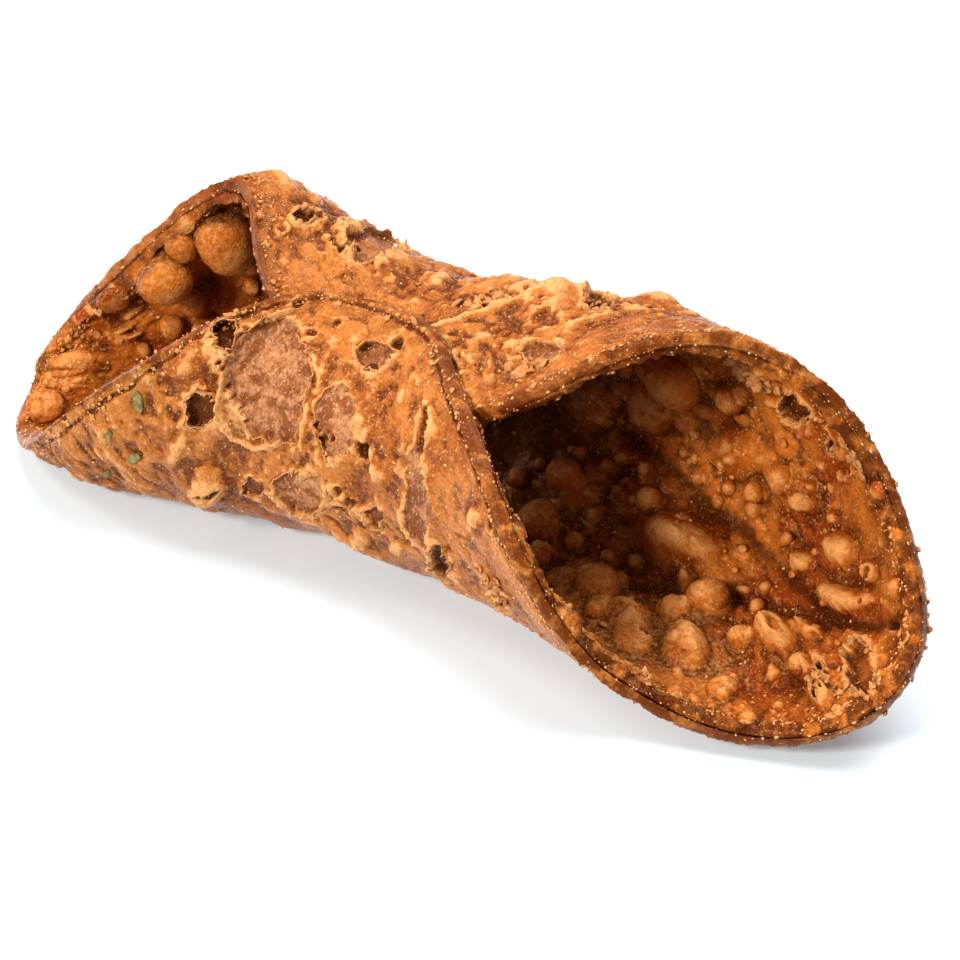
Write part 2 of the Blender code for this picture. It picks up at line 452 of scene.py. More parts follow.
# Towards the cut edge the dough lies flatter, most of all at the right mouth.
outer_calm = (0.45 + 0.4 * facing(SHEET_ANGLE, 0.0, 70.0)) * bell(EDGE_MAP, 0.0, 4.0)
outer.height *= 1.0 - outer_calm
outer.roughen(((0.07, 1.1), (0.05, 0.55)))

# %% Named domes and craters of the outside
# Domes: along, around, half-length, half-width, rise, turn.
OUTER_DOMES = (
    (-26.9, 47.2, 4.8, 2.7, 1.5, 118.0),
    (-27.1, 28.4, 3.5, 2.2, 1.6, 64.0),
    (16.8, 44.2, 2.4, 1.4, 0.8, 57.0),
    (-5.5, 26.6, 2.6, 1.5, 0.8, 56.0),
    (0.8, 28.6, 2.3, 1.2, 0.8, 56.0),
    (-30.5, -45.9, 3.7, 2.6, 0.9, 94.0),
    (-27.2, -43.4, 1.8, 1.2, 0.7, 121.0),
    (-26.9, -45.9, 1.1, 0.8, 0.6, 71.0),
    (-31.0, -50.5, 1.5, 1.1, 0.5, 69.0),
    (7.9, -52.6, 7.4, 3.3, 1.0, 126.0),
    (-12.0, -43.0, 3.0, 2.0, 0.8, 120.0),
    (-5.0, -41.0, 2.2, 1.8, 0.8, 20.0),
    (1.0, -45.0, 2.2, 1.6, 0.9, 0.0),
    (12.0, -47.0, 2.2, 1.5, 0.8, 30.0),
    (18.0, -45.0, 2.6, 2.0, 0.8, 0.0),
    (3.0, -58.0, 1.8, 1.0, 0.6, 130.0),
    (8.0, -61.0, 1.6, 0.9, 0.5, 140.0),
)
# Craters: along, around, half-length, half-width, turn, depth, lip, bareness, painted shade of the floor.
OUTER_CRATERS = (
    (-20.0, 43.8, 8.7, 5.2, 119.0, 0.60, 0.50, 0.95, 0.0),
    (-27.4, 48.3, 2.4, 1.3, 118.0, 1.3, 0.5, 0.0, 1.0),
    (-27.5, 39.1, 2.3, 1.85, 115.0, 1.0, 0.75, 0.3, 0.6),
    (-27.0, 28.0, 1.9, 0.5, 13.0, 0.8, 0.3, 0.0, 0.9),
    (-13.6, 30.6, 4.6, 2.9, 45.0, 0.6, 0.55, 1.0, 0.0),
    (-1.6, 32.5, 2.5, 1.3, 61.0, 0.5, 0.5, 0.35, 0.1),
    (-9.1, 41.4, 4.2, 3.5, 110.0, 0.32, 0.4, 0.75, 0.0),
    (-3.9, 40.2, 1.0, 0.75, 46.0, 0.9, 0.3, 0.0, 1.0),
    (-8.2, 51.0, 3.1, 2.2, 15.0, 0.55, 0.45, 0.45, 0.25),
    (-10.7, 51.3, 0.9, 0.6, 5.0, 0.6, 0.2, 0.0, 1.0),
    (-6.2, 53.7, 0.9, 0.7, 7.0, 0.9, 0.3, 0.0, 1.0),
    (-8.3, 49.0, 1.1, 0.6, 14.0, 0.6, 0.2, 0.0, 1.0),
    (4.8, 47.3, 2.9, 0.8, 118.0, 0.8, 0.5, 0.3, 0.5),
    (6.2, 39.3, 6.0, 1.9, 98.0, 0.32, 0.35, 1.0, 0.0),
    (8.6, 31.2, 4.4, 1.5, 72.0, 0.8, 0.55, 0.2, 0.75),
    (18.9, 31.0, 2.4, 1.0, 53.0, 0.6, 0.4, 0.2, 0.8),
    (-20.9, 28.4, 2.2, 1.3, 49.0, 0.4, 0.45, 0.2, 0.2),
    (-30.6, -45.9, 2.4, 1.1, 70.0, 0.9, 0.5, 0.1, 0.8),
    (-27.2, -43.4, 0.8, 0.5, 121.0, 0.7, 0.3, 0.0, 0.8),
    (-22.2, -40.8, 5.6, 3.0, 101.0, 0.85, 0.75, 0.45, 0.25),
    (-31.0, -50.5, 0.7, 0.5, 69.0, 0.4, 0.3, 0.0, 0.5),
    (9.8, -55.9, 3.2, 1.4, 134.0, 0.4, 0.3, 0.4, 0.0),
    (13.0, -49.8, 4.6, 1.5, 121.0, 0.8, 0.5, 0.2, 0.6),
    (13.6, -63.4, 4.0, 1.7, 150.0, 0.45, 0.4, 0.7, 0.15),
    (-0.9, -48.5, 2.4, 1.0, 127.0, 0.6, 0.5, 0.2, 0.4),
    (2.5, -46.0, 1.6, 0.8, 127.0, 0.6, 0.5, 0.2, 0.4),
)
# Spongy clusters: along, around, half-length, half-width, count, bubble size.
OUTER_SPONGE = (
    (-7.1, 32.1, 3.2, 1.7, 16, 0.5),
    (-10.3, 39.2, 2.1, 1.4, 12, 0.4),
    (-24.0, -45.5, 3.0, 1.4, 12, 0.5),
    (-0.5, -50.0, 2.5, 1.5, 9, 0.5),
    (19.5, 34.5, 2.5, 1.4, 9, 0.5),
    (14.0, -45.0, 2.4, 1.3, 7, 0.5),
)
# The lower left of the large bare patch is palest.
outer.stain("pale", 0.75 * bell(ALONG_MAP, -22.5, 2.8) * bell(AROUND_MAP, 39.5, 4.2))
# Folds: path of points, width, rise.
OUTER_FOLDS = (
    (((-22.0, 53.0), (-24.5, 50.5), (-25.5, 47.5), (-25.5, 44.0), (-25.5, 40.5), (-25.0, 38.0), (-23.0, 35.5),
      (-20.0, 34.8), (-17.0, 36.0)), 0.38, 0.95),
    (((-22.0, 53.0), (-24.5, 50.5), (-25.5, 47.5), (-25.5, 44.0), (-25.5, 40.5), (-25.0, 38.0)), 1.6, 0.4),
    (((-31.0, 32.0), (-29.5, 35.0), (-29.0, 38.5), (-28.5, 41.5)), 0.9, 0.6),
    (((-13.5, 36.5), (-14.0, 40.0), (-13.5, 44.0), (-14.5, 48.0)), 0.6, 0.5),
    (((-36.0, 44.0), (-33.0, 41.0), (-31.0, 37.0)), 0.8, 0.5),
    (((-20.0, 25.0), (-12.0, 25.5), (-4.0, 24.0)), 1.0, 0.5),
    (((-8.0, -58.0), (-3.0, -54.0), (3.0, -51.0), (10.0, -47.0)), 0.9, 0.8),
    (((14.0, -58.0), (18.0, -53.0), (24.0, -49.0)), 0.9, 0.6),
)
outer.add_domes(OUTER_DOMES, ragged=0.5, pale=0.2)
for row in OUTER_CRATERS:
    outer.crater(*row)
for path, width, rise in OUTER_FOLDS:
    outer.height += rise * outer.path_closeness(path, width)
# A thin groove runs a little inside the cut edge of both flaps, where the two layers have parted.
near_edges = facing(SHEET_ANGLE, 76.0, 26.0) + 0.6 * facing(SHEET_ANGLE, 130.0, 24.0)
near_edges += 0.7 * facing(SHEET_ANGLE, 308.0, 24.0)
groove = bell(EDGE_MAP - 0.3 * outer.wobble[0], 1.9, 0.26)
groove *= np.clip(near_edges, 0.0, 1.0) * np.clip(0.85 + 0.6 * outer.patchy, 0.0, 1.0)
outer.height -= 0.8 * groove
# Painted shade darkens the groove.
outer.stain("painted_shade", 0.95 * groove)
for row in OUTER_SPONGE:
    outer.honeycomb(*row)
# A few pinholes, darkened with painted shade, are scattered over the rest.
PINHOLES = 30
for _ in range(PINHOLES):
    radius = outer.random.uniform(0.3, 0.65)
    place = (outer.random.uniform(-60.0, 60.0), outer.random.uniform(-75.0, 60.0))
    outer.crater(*place, radius * 1.2, radius, outer.random.uniform(0.0, 180.0), 0.4, 0.3, 0.0, 0.45)
print("outside relief, mm:", round(float(outer.height.min()), 2), round(float(outer.height.max()), 2))

# %% [markdown]
# ## The inside face
# The inside was against the metal tube until the shell swelled away from it, so its blisters stayed whole:
# round bubbles crowd the walls, with a long soft hill down the floor and a deep valley beside it. Only
# near the open end did a few bubbles burst. The deep inside is darkest, with painted shade.

# %% Broad hills and small blisters of the inside
inner = DoughFace(seed=23)
INNER_HILLS = (
    (-51.0, -37.0, 7.0, 9.0, 1.4, 0.0),
    (-57.0, -24.0, 7.0, 9.0, 0.8, 0.0),
    (-60.0, -4.0, 7.0, 14.0, 1.0, 0.0),
    (23.0, -6.0, 13.0, 8.0, 3.2, 0.0),
    (6.0, -7.0, 8.0, 7.0, 2.0, 0.0),
    (8.0, 3.0, 8.0, 8.0, 2.4, 0.0),
    (16.0, 8.0, 7.0, 7.0, 2.0, 0.0),
    (18.0, -31.0, 8.0, 6.0, 2.2, 0.0),
    (32.0, 1.0, 6.0, 6.0, 2.4, 0.0),
    (26.0, 11.0, 6.5, 6.0, 2.2, 0.0),
    (35.0, 8.0, 8.0, 7.0, 1.8, 0.0),
    (45.0, -1.0, 7.0, 6.5, 2.4, 0.0),
    (48.0, -18.0, 8.0, 6.5, 1.8, 0.0),
    (51.0, -12.5, 10.0, 4.5, 2.0, 0.0),
    (36.0, -22.0, 9.0, 6.0, 1.6, 0.0),
)
inner.add_domes(INNER_HILLS, power=1.5, ragged=0.0)
inner.roughen(((0.35, 11.0), (0.30, 5.0)))
inner_drifts = np.clip(0.5 + 1.0 * random_hills(inner.random, 8.0), 0.05, 1.0)
inner.height += (0.10 + 0.35 * inner_drifts) * billows(inner.random, 4.0)
inner.height += 0.12 * inner_drifts * billows(inner.random, 1.6)
# Both mouths keep room for the blisters listed below.
left_floor = 1.0 - 0.85 * ramp(-ALONG_MAP, 42.0, 46.0)
open_mouth = np.clip(1.0 - ramp(ALONG_MAP, -4.0, 2.0) * ramp(-AROUND_MAP, -26.0, -20.0), 0.08, 1.0)
kept = inner.scatter_domes(1250, (0.9, 3.0), (0.35, 0.60), inner_drifts * open_mouth * left_floor)
kept += inner.scatter_domes(1000, (0.6, 2.0), (0.30, 0.55), inner_drifts * left_floor)
kept += inner.scatter_domes(2200, (0.4, 1.0), (0.12, 0.30))
kept += inner.scatter_domes(1800, (0.35, 1.0), (0.4, 0.7), inner_drifts * left_floor, pale=0.25)
print("small blisters inside:", kept)

# %% Named domes and craters of the inside
# Whole blisters of the left mouth, the far wall and the floor, with the same columns as outside.
INNER_DOMES = (
    (-50.4, -35.6, 5.0, 8.0, 1.6, 0.0),
    (-55.2, -39.6, 4.4, 7.0, 1.4, 0.0),
    (-58.8, -38.0, 3.4, 6.0, 1.2, 0.0),
    (-52.2, -25.0, 2.2, 3.6, 0.6, 0.0),
    (-54.0, -20.6, 2.0, 3.4, 0.6, 0.0),
    (-47.0, -38.5, 2.2, 3.6, 1.6, 0.0),
    (-58.1, -25.0, 0.7, 1.2, 0.7, 0.0),
    (-56.5, -21.4, 0.7, 1.2, 0.7, 0.0),
    (-57.6, -29.5, 1.2, 2.2, 0.7, 0.0),
    (-60.6, -8.0, 4.0, 12.0, 0.7, 0.0),
    (-61.6, 5.4, 3.2, 6.4, 0.8, 0.0),
    (18.0, -30.5, 4.6, 4.0, 2.8, 115.0),
    (25.8, -30.1, 2.4, 2.2, 2.0, 0.0),
    (27.6, -21.6, 5.6, 3.9, 1.7, 148.0),
    (36.4, -22.6, 2.6, 2.0, 1.4, 146.0),
    (32.1, -18.1, 1.9, 1.5, 1.3, 150.0),
    (40.1, -21.0, 2.3, 1.5, 1.2, 146.0),
    (32.2, -15.6, 1.7, 1.3, 1.1, 152.0),
    (47.4, -34.0, 1.5, 1.5, 1.2, 0.0),
    (53.9, -31.5, 1.8, 1.7, 1.4, 0.0),
    (46.0, -28.4, 1.1, 1.0, 1.0, 0.0),
    (45.5, -21.8, 1.2, 1.0, 0.9, 0.0),
    (48.8, -19.0, 3.0, 2.6, 1.2, 147.0),
    (54.6, -18.9, 1.8, 1.4, 1.2, 148.0),
    (60.9, -19.6, 1.7, 1.6, 1.2, 0.0),
    (51.8, -13.4, 6.6, 2.2, 1.4, 151.0),
    (42.1, -13.5, 2.7, 1.8, 1.4, 146.0),
    (39.1, -14.9, 1.3, 1.1, 1.0, 0.0),
    (13.0, -22.4, 4.8, 4.0, 2.2, 117.0),
    (3.5, -18.9, 5.0, 4.2, 1.8, 107.0),
    (20.4, -21.2, 0.8, 0.7, 0.7, 0.0),
    (19.1, -18.0, 0.9, 0.8, 0.7, 0.0),
    (21.2, -18.0, 0.9, 0.9, 0.8, 0.0),
    (22.6, -15.8, 1.4, 1.2, 1.1, 0.0),
    (26.4, -14.0, 1.2, 1.1, 1.0, 0.0),
    (27.4, -16.5, 1.3, 1.1, 1.0, 0.0),
    (27.0, -6.2, 9.6, 6.0, 2.4, 168.0),
    (17.6, -9.4, 2.5, 2.0, 2.0, 155.0),
    (14.8, -8.6, 4.2, 3.7, 1.6, 60.0),
    (5.1, -7.8, 2.8, 2.6, 2.0, 30.0),
    (11.0, -13.8, 1.4, 1.3, 1.2, 0.0),
    (4.8, -12.1, 1.1, 1.0, 0.9, 0.0),
    (0.6, -8.1, 1.1, 1.0, 0.9, 0.0),
    (-1.2, -4.9, 1.6, 1.5, 1.3, 0.0),
    (12.0, 2.0, 1.7, 1.5, 1.5, 56.0),
    (6.5, 2.0, 3.7, 3.3, 2.6, 75.0),
    (9.3, 7.0, 2.1, 2.0, 2.0, 66.0),
    (38.8, -4.6, 1.3, 1.2, 1.2, 140.0),
    (35.7, -5.3, 1.4, 0.9, 0.8, 147.0),
    (38.4, -7.4, 1.3, 1.1, 0.9, 150.0),
    (57.2, 0.0, 3.2, 2.5, 1.8, 40.0),
)
# Rounder blisters on the near wall of the open mouth.
NEAR_DOMES = (
    (17.0, 1.5, 1.3, 1.2, 1.2, 56.0),
    (20.2, -0.2, 1.3, 1.2, 1.1, 0.0),
    (20.2, 3.6, 1.6, 1.4, 1.3, 72.0),
    (19.5, 8.0, 4.0, 3.0, 2.2, 58.0),
    (22.8, 13.8, 1.9, 1.7, 1.5, 65.0),
    (29.4, 13.6, 3.6, 3.1, 2.2, 60.0),
    (35.6, 9.4, 4.4, 3.8, 1.9, 68.0),
    (33.6, -0.2, 3.3, 2.9, 2.2, 144.0),
    (30.2, 4.6, 2.8, 2.3, 1.5, 132.0),
    (45.6, -2.8, 3.8, 3.5, 1.9, 160.0),
    (44.2, 11.2, 2.6, 2.1, 1.5, 60.0),
    (38.2, 23.2, 1.7, 1.6, 1.0, 30.0),
    (36.2, 20.6, 0.9, 0.8, 0.5, 0.0),
    (41.1, 19.3, 1.4, 1.2, 0.8, 42.0),
    (43.2, 17.0, 1.1, 1.0, 0.6, 0.0),
    (45.6, 15.6, 0.8, 0.7, 0.5, 0.0),
    (51.0, 13.0, 1.9, 1.5, 0.9, 119.0),
    (40.6, 1.6, 2.3, 1.9, 1.5, 130.0),
    (48.0, 2.4, 1.5, 1.2, 0.9, 20.0),
    (52.0, 6.0, 1.2, 1.0, 0.6, 0.0),
    (38.0, 14.4, 1.1, 0.9, 0.6, 0.0),
    (22.3, 12.3, 1.9, 1.6, 1.1, 65.0),
    (34.9, 24.3, 1.2, 1.1, 0.7, 0.0),
    (26.5, 20.5, 1.8, 1.4, 0.9, 60.0),
    (52.1, -1.1, 2.1, 1.7, 1.4, 156.0),
)
INNER_CRATERS = (
    (-59.0, -38.6, 1.9, 2.6, 0.0, 1.3, 0.7, 0.5, 0.25),
    (-46.9, -27.6, 0.6, 0.8, 0.0, 0.5, 0.25, 0.2, 0.2),
    (43.1, -31.1, 1.6, 0.8, 111.0, 0.7, 0.5, 0.1, 0.7),
    (37.4, -34.9, 4.8, 2.3, 127.0, 1.2, 0.7, 0.1, 0.8),
    (45.6, -2.8, 1.5, 1.3, 160.0, 0.8, 0.35, 0.3, 0.35),
    (30.4, 12.4, 1.5, 0.60, 100.0, 1.0, 0.30, 0.0, 1.0),
    (54.6, -18.9, 0.9, 0.7, 148.0, 0.5, 0.4, 0.1, 0.6),
    (26.4, 17.8, 0.5, 0.4, 0.0, 0.5, 0.3, 0.0, 0.8),
    (56.8, 1.2, 1.4, 0.9, 39.0, 1.0, 0.5, 0.0, 1.0),
    (55.0, -3.0, 1.0, 0.8, 39.0, 0.9, 0.6, 0.1, 0.8),
    (60.8, -6.5, 5.0, 2.7, 37.0, 1.0, 0.8, 0.3, 0.45),
    (61.5, -14.2, 1.1, 0.8, 0.0, 1.0, 0.2, 0.0, 1.0),
    (48.5, -31.5, 1.0, 0.6, 110.0, 0.8, 0.3, 0.0, 1.0),
)
INNER_SPONGE = (
    (56.4, -1.4, 2.6, 1.7, 14, 0.5),
    (37.5, 23.0, 1.4, 1.2, 7, 0.4),
    (33.0, -36.5, 3.0, 1.8, 10, 0.45),
    (44.0, -36.0, 3.0, 1.4, 8, 0.4),
)
inner.add_domes(INNER_DOMES, power=0.8, ragged=0.12, pale=0.12)
inner.add_domes(NEAR_DOMES, power=0.6, ragged=0.10, pale=0.12, easing=0.04)
inner.roughen(((0.05, 1.0), (0.03, 0.5)))
for row in INNER_CRATERS:
    inner.crater(*row)
for row in INNER_SPONGE:
    inner.honeycomb(*row)
# The valley between the floor hill and the far wall.
VALLEY = (
    (10.0, -17.0), (19.0, -14.8), (25.5, -12.2), (30.5, -12.6), (36.0, -11.2), (43.0, -10.2), (50.0, -9.8),
    (58.0, -12.5), (64.5, -17.5),
)
groove = inner.path_closeness(VALLEY, 1.5, ragged=0.5)
inner.height = np.minimum(inner.height, inner.height * (1.0 - groove) - 0.5 * groove)
# Painted shade darkens the valley.
inner.stain("painted_shade", 0.72 * groove)
# The near wall swells up in a long brow, with a narrower valley between it and the floor hill.
NEAR_BROW = ((18.0, 14.0), (24.5, 10.5), (31.0, 6.0), (36.0, 2.0), (41.0, -1.0), (47.0, -3.0), (53.0, -4.0))
NEAR_VALLEY = ((16.0, 5.5), (22.6, 2.6), (28.1, 0.0), (33.5, -3.0), (39.0, -5.8), (44.0, -7.4), (50.0, -8.4))
inner.height += 1.3 * inner.path_closeness(NEAR_BROW, 3.6, ragged=1.0)
near_valley = inner.path_closeness(NEAR_VALLEY, 1.0, ragged=0.6)
inner.height -= 0.8 * near_valley
# Painted shade darkens the narrower valley as well.
inner.stain("painted_shade", 0.45 * near_valley)
# Deep inside the bore, painted shade darkens the dough most.
inner.stain("painted_shade", 0.8 * ramp(-ALONG_MAP, -14.0, 2.0) * ramp(ALONG_MAP, -40.0, -28.0))
# Painted light: the left mouth catches more light, so it is painted paler.
inner.stain("pale", 0.22 * ramp(-ALONG_MAP, 34.0, 42.0))
# Painted light: the near wall of the open mouth, under the torn rim, is painted a little paler as well.
near_wall_light = ramp(AROUND_MAP, -2.0, 5.0) * ramp(ALONG_MAP, 4.0, 16.0) * (1.0 - 0.7 * ramp(ALONG_MAP, 42.0, 52.0))
inner.stain("pale", 0.38 * near_wall_light)
# The rim lies flatter than the rest, and is finely blistered.
inner_calm = (0.2 + 0.4 * facing(SHEET_ANGLE, 340.0, 40.0)) * bell(EDGE_MAP, 0.0, 2.5)
inner.height *= 1.0 - inner_calm
inner.height += 0.30 * bell(EDGE_MAP, 0.0, 6.0) * billows(inner.random, 1.3)
print("inside relief, mm:", round(float(inner.height.min()), 2), round(float(inner.height.max()), 2))

# %% [markdown]
# ## From maps to two skins
# Along the cut edge a fried shell splits like a thin sandwich, so the shell is built as two closed skins
# lying on each other, with a split showing between them at the rim, darkened with painted shade. Each skin
# starts as a coarse flat grid that Solidify turns into a slab. Only its front is then subdivided finely,
# because nothing ever sees the back. Every point is last moved to its place on the wrapped sheet and out
# by the relief.

# %% Grid spacing and rim shape
RIM_WIDTH = 1.3
CUTS = 7
SLAB = 0.1
EDGE_DROP = 1.16
SKIN_FLOOR = 0.9
SEAM_GAP = 0.30
SEAM_STEP = 0.22
FRAY_WAVES = (5, 9, 14, 23, 37, 61, 97, 141, 190)
FOCUS_SITES = 801
# Where the front and the hidden back of a skin lie in the unwrapped square: start and size.
FRONT_PATCH = (0.02, 0.96)
BACK_PATCH = (0.005, 0.01)


def crowded(values, focus, low, high):
    """Spreads -1..1 over low..high so that the points crowd wherever focus is greater."""
    sites = np.linspace(low, high, FOCUS_SITES)
    density = focus(sites)
    total = np.concatenate(([0.0], np.cumsum(0.5 * (density[1:] + density[:-1]))))
    return np.interp((values + 1.0) / 2.0, total / total[-1], sites)


def edge_crowding(sites):
    """Extra points close to the cut edge of the sheet, where the rim curls over."""
    return 1.6 * bell(np.abs(sites), 1.0, 0.03)


def sheet_place(x, y, fray):
    """Along, around and distance from the cut edge for points of the square (-1..1, -1..1)."""
    disc_x = x * np.sqrt(1.0 - y * y / 2.0)
    disc_y = y * np.sqrt(1.0 - x * x / 2.0)
    angle_deg = np.degrees(np.arctan2(disc_y, disc_x)) % 360.0
    reach = sheet_edge(angle_deg)
    share = np.maximum(np.abs(x), np.abs(y))
    reach = reach + fray(angle_deg) * share**8
    along = SHEET_CENTRE[0] + disc_x * reach
    around = SHEET_CENTRE[1] + disc_y * reach
    return along, around, (1.0 - share) * reach


def make_fray(seed, amount):
    """Uneven trim of the cut edge."""
    random = np.random.default_rng(seed)
    waves = [(count, random.uniform(0.0, 360.0), random.uniform(0.4, 1.0)) for count in FRAY_WAVES]

    def fray(angle_deg):
        total = np.zeros_like(angle_deg)
        for count, phase, strength in waves:
            total += strength * np.sin(np.radians(count * angle_deg + phase)) / count**0.35
        return amount * total

    return fray


def seam_open(angle_deg):
    """Where the split between the two skins gapes: along the near right of the cut edge."""
    return facing(angle_deg, 36.0, 26.0)


shared_fray = make_fray(11, 0.10)


def trimmed(seed, amount, stand_out):
    """Trim of one skin, which stands out by so many mm, or is set back, where the split gapes."""
    own_trim = make_fray(seed, amount)

    def fray(angle_deg):
        return shared_fray(angle_deg) + seam_open(angle_deg) * (stand_out + own_trim(angle_deg))

    return fray


outer_fray = trimmed(12, 0.07, SEAM_STEP)
inner_fray = trimmed(13, 0.18, -SEAM_STEP)


# %% Place points and build a skin
def face_base(side, along, around):
    """Points on one face before its relief, and the directions out of it. Side is 1 outside, -1 inside."""
    normal = outward(along, around) * side
    base = wrapped(along, around)
    if side < 0:
        base = base + normal * WALL
    return base, normal


def face_points(side, along, around, lift):
    """Points raised by lift mm above one face, and never below the table."""
    base, normal = face_base(side, along, around)
    points = base + normal * lift[..., None]
    points[..., 2] = np.maximum(points[..., 2], 0.0)
    return points


def add_map(mesh, name, values):
    """Stores one number a point for the finish to read."""
    attribute = mesh.attributes.new(name, "FLOAT", "POINT")
    attribute.data.foreach_set("value", np.ascontiguousarray(values, dtype=np.float32))


def seam_share(along, around):
    """How widely the split between the skins gapes at points of the sheet, from 0 to 1."""
    return seam_open(sheet_direction(along, around))


def front_lift(face, along, around, from_edge):
    """Height of a skin's front, with the rim curling over towards the split."""
    relief = read_map(face.height, along, around)
    rim = np.clip(1.0 - from_edge / RIM_WIDTH, 0.0, 1.0)
    bead = 0.25 * bell(from_edge, 1.4, 0.9)
    crumble = read_map(face.crumble, along, around) * bell(from_edge, 0.0, 3.0)
    lift = relief * (1.0 - rim**2) + (bead + crumble) * (1.0 - rim**3)
    gap = SEAM_GAP * seam_share(along, around)
    drop = EDGE_DROP - gap * np.clip(0.5 - 2.5 * read_map(face.crumble, around, along), 0.0, 1.0)
    return np.maximum(lift, -SKIN_FLOOR) - drop * (1.0 - np.sqrt(1.0 - rim**2))


def make_skin(name, face, side, cells, x_span, y_span, x_focus, y_focus, fray, thickness):
    """One closed skin: a fine front that carries the relief and a coarse hidden back."""
    bm = bmesh.new()
    bmesh.ops.create_grid(bm, x_segments=cells[0], y_segments=cells[1], size=1.0)
    bmesh.ops.solidify(bm, geom=bm.faces[:], thickness=SLAB)
    top = max(vert.co.z for vert in bm.verts)
    front = [f for f in bm.faces if min(vert.co.z for vert in f.verts) > top - SLAB / 2.0]
    edges = list({edge for f in front for edge in f.edges})
    bmesh.ops.subdivide_edges(bm, edges=edges, cuts=CUTS, use_grid_fill=True)
    mesh = bpy.data.meshes.new(name)
    bm.to_mesh(mesh)
    bm.free()

    flat = np.empty(len(mesh.vertices) * 3)
    mesh.vertices.foreach_get("co", flat)
    flat = flat.reshape(-1, 3)
    x = crowded(flat[:, 0], x_focus, *x_span)
    y = crowded(flat[:, 1], y_focus, *y_span)
    along, around, from_edge = sheet_place(x, y, fray)
    is_front = flat[:, 2] > top - SLAB / 2.0

    lift = np.where(is_front, front_lift(face, along, around, from_edge), -thickness)
    points = face_points(side, along, around, lift)
    mesh.vertices.foreach_set("co", (points * MM).ravel())
    # Where the split gapes, the hidden back shows through it and is painted dark with shade.
    hidden = {"bare": 0.0, "pale": 0.0, "painted_shade": seam_share(along, around), "hollow": 0.0}
    for key, back in hidden.items():
        add_map(mesh, key, np.where(is_front, read_map(getattr(face, key), along, around), back))
    # The browned rim is faint at the left mouth and broad at the right one.
    angle_deg = sheet_direction(along, around)
    browned = 1.0 - 0.6 * facing(angle_deg, 190.0, 50.0)
    breadth = 3.2 + 2.6 * facing(angle_deg, 355.0, 45.0)
    add_map(mesh, "rim", browned * bell(from_edge, 0.0, breadth))
    uv = mesh.uv_layers.new(name="OFBake")
    corners = np.empty(len(mesh.loops), dtype=np.int32)
    mesh.loops.foreach_get("vertex_index", corners)
    across, upward = (x - x_span[0]) / np.ptp(x_span), (y - y_span[0]) / np.ptp(y_span)
    spread = np.stack([across, upward], -1)
    on_front, on_back = (start + size * spread for start, size in (FRONT_PATCH, BACK_PATCH))
    shrunk = np.where(is_front[:, None], on_front, on_back)
    uv.data.foreach_set("uv", shrunk[corners].astype(np.float32).ravel())

    bm = bmesh.new()
    bm.from_mesh(mesh)
    bmesh.ops.recalc_face_normals(bm, faces=bm.faces[:])
    for f in bm.faces:
        f.smooth = True
    bm.to_mesh(mesh)
    bm.free()
    skin = add_object(name, mesh)
    print(name, "faces:", len(mesh.polygons))
    return skin


# %% Finish the maps
for face, crumb_seed in ((outer, 41), (inner, 43)):
    face.height = np.maximum(face.height, -SKIN_FLOOR)
    # Painted light and shade: the height less a blurred copy of it paints the hollows darker and the tops
    # lighter.
    soft = spectrum_filter(face.height, 0.45)
    small = soft - spectrum_filter(face.height, 2.4)
    large = soft - spectrum_filter(face.height, 7.0)
    face.hollow = 0.5 * small / small.std() + 0.5 * large / large.std()
    print("hollows and tops:", np.percentile(face.hollow, (5, 25, 50, 75, 95)).round(2))
    crumbs = np.random.default_rng(crumb_seed)
    face.crumble = 0.14 * random_hills(crumbs, 4.0) + 0.16 * billows(crumbs, 1.3)
    face.crumble += 0.06 * random_hills(crumbs, 0.6)


# %% Make the skins
def flank(side, strength, start, end):
    """Crowds one side of a skin, growing from start to end."""
    return lambda sites: 1.0 + strength * ramp(side * sites, start, end) + edge_crowding(sites)


def belt(strength, width):
    """Crowds the middle of a skin."""
    return lambda sites: 1.0 + strength * bell(sites, -0.05, width) + edge_crowding(sites)


# The points crowd where a close look falls: the middle of the length and the upper part of each flap
# outside, and the walls of both mouths inside.
UNDERSIDE_SPLIT = 0.19
BORE_SPLIT = -0.33
OUTER_THICKNESS = 1.05
INNER_THICKNESS = 1.1
skins = [
    make_skin("skin_outside_near", outer, 1, (54, 27), (-1.0, 1.0), (UNDERSIDE_SPLIT, 1.0),
              belt(0.5, 0.6), flank(1.0, 1.1, 0.35, 0.55), outer_fray, OUTER_THICKNESS),
    make_skin("skin_outside_far", outer, 1, (50, 29), (-1.0, 1.0), (-1.0, UNDERSIDE_SPLIT),
              belt(0.5, 0.6), flank(-1.0, 1.2, 0.45, 0.6), outer_fray, OUTER_THICKNESS),
    make_skin("skin_inside_right", inner, -1, (32, 46), (BORE_SPLIT, 1.0), (-1.0, 1.0),
              flank(1.0, 0.9, -0.05, 0.15), belt(1.2, 0.5), inner_fray, INNER_THICKNESS),
    make_skin("skin_inside_left", inner, -1, (32, 44), (-1.0, BORE_SPLIT), (-1.0, 1.0),
              flank(-1.0, 1.5, 0.65, 0.8), belt(1.2, 0.5), inner_fray, INNER_THICKNESS),
]

# %% [markdown]
# ## Bubbles, torn lips and crumbs
# Some shapes cannot come from a height map, because they overhang. Whole bubbles stand out from the wall
# like beads, torn blisters keep a thin curled lip, and loose crumbs sit on the surface. Each kind is one
# mesh, made by stamping a simple solid many times and then pushing its points about.

# %% Frame at a point of the dough
# A stamped solid keeps this many of its own sizes above the table.
TABLE_CLEARANCE = 1.05
BATCH_SIZE = 60


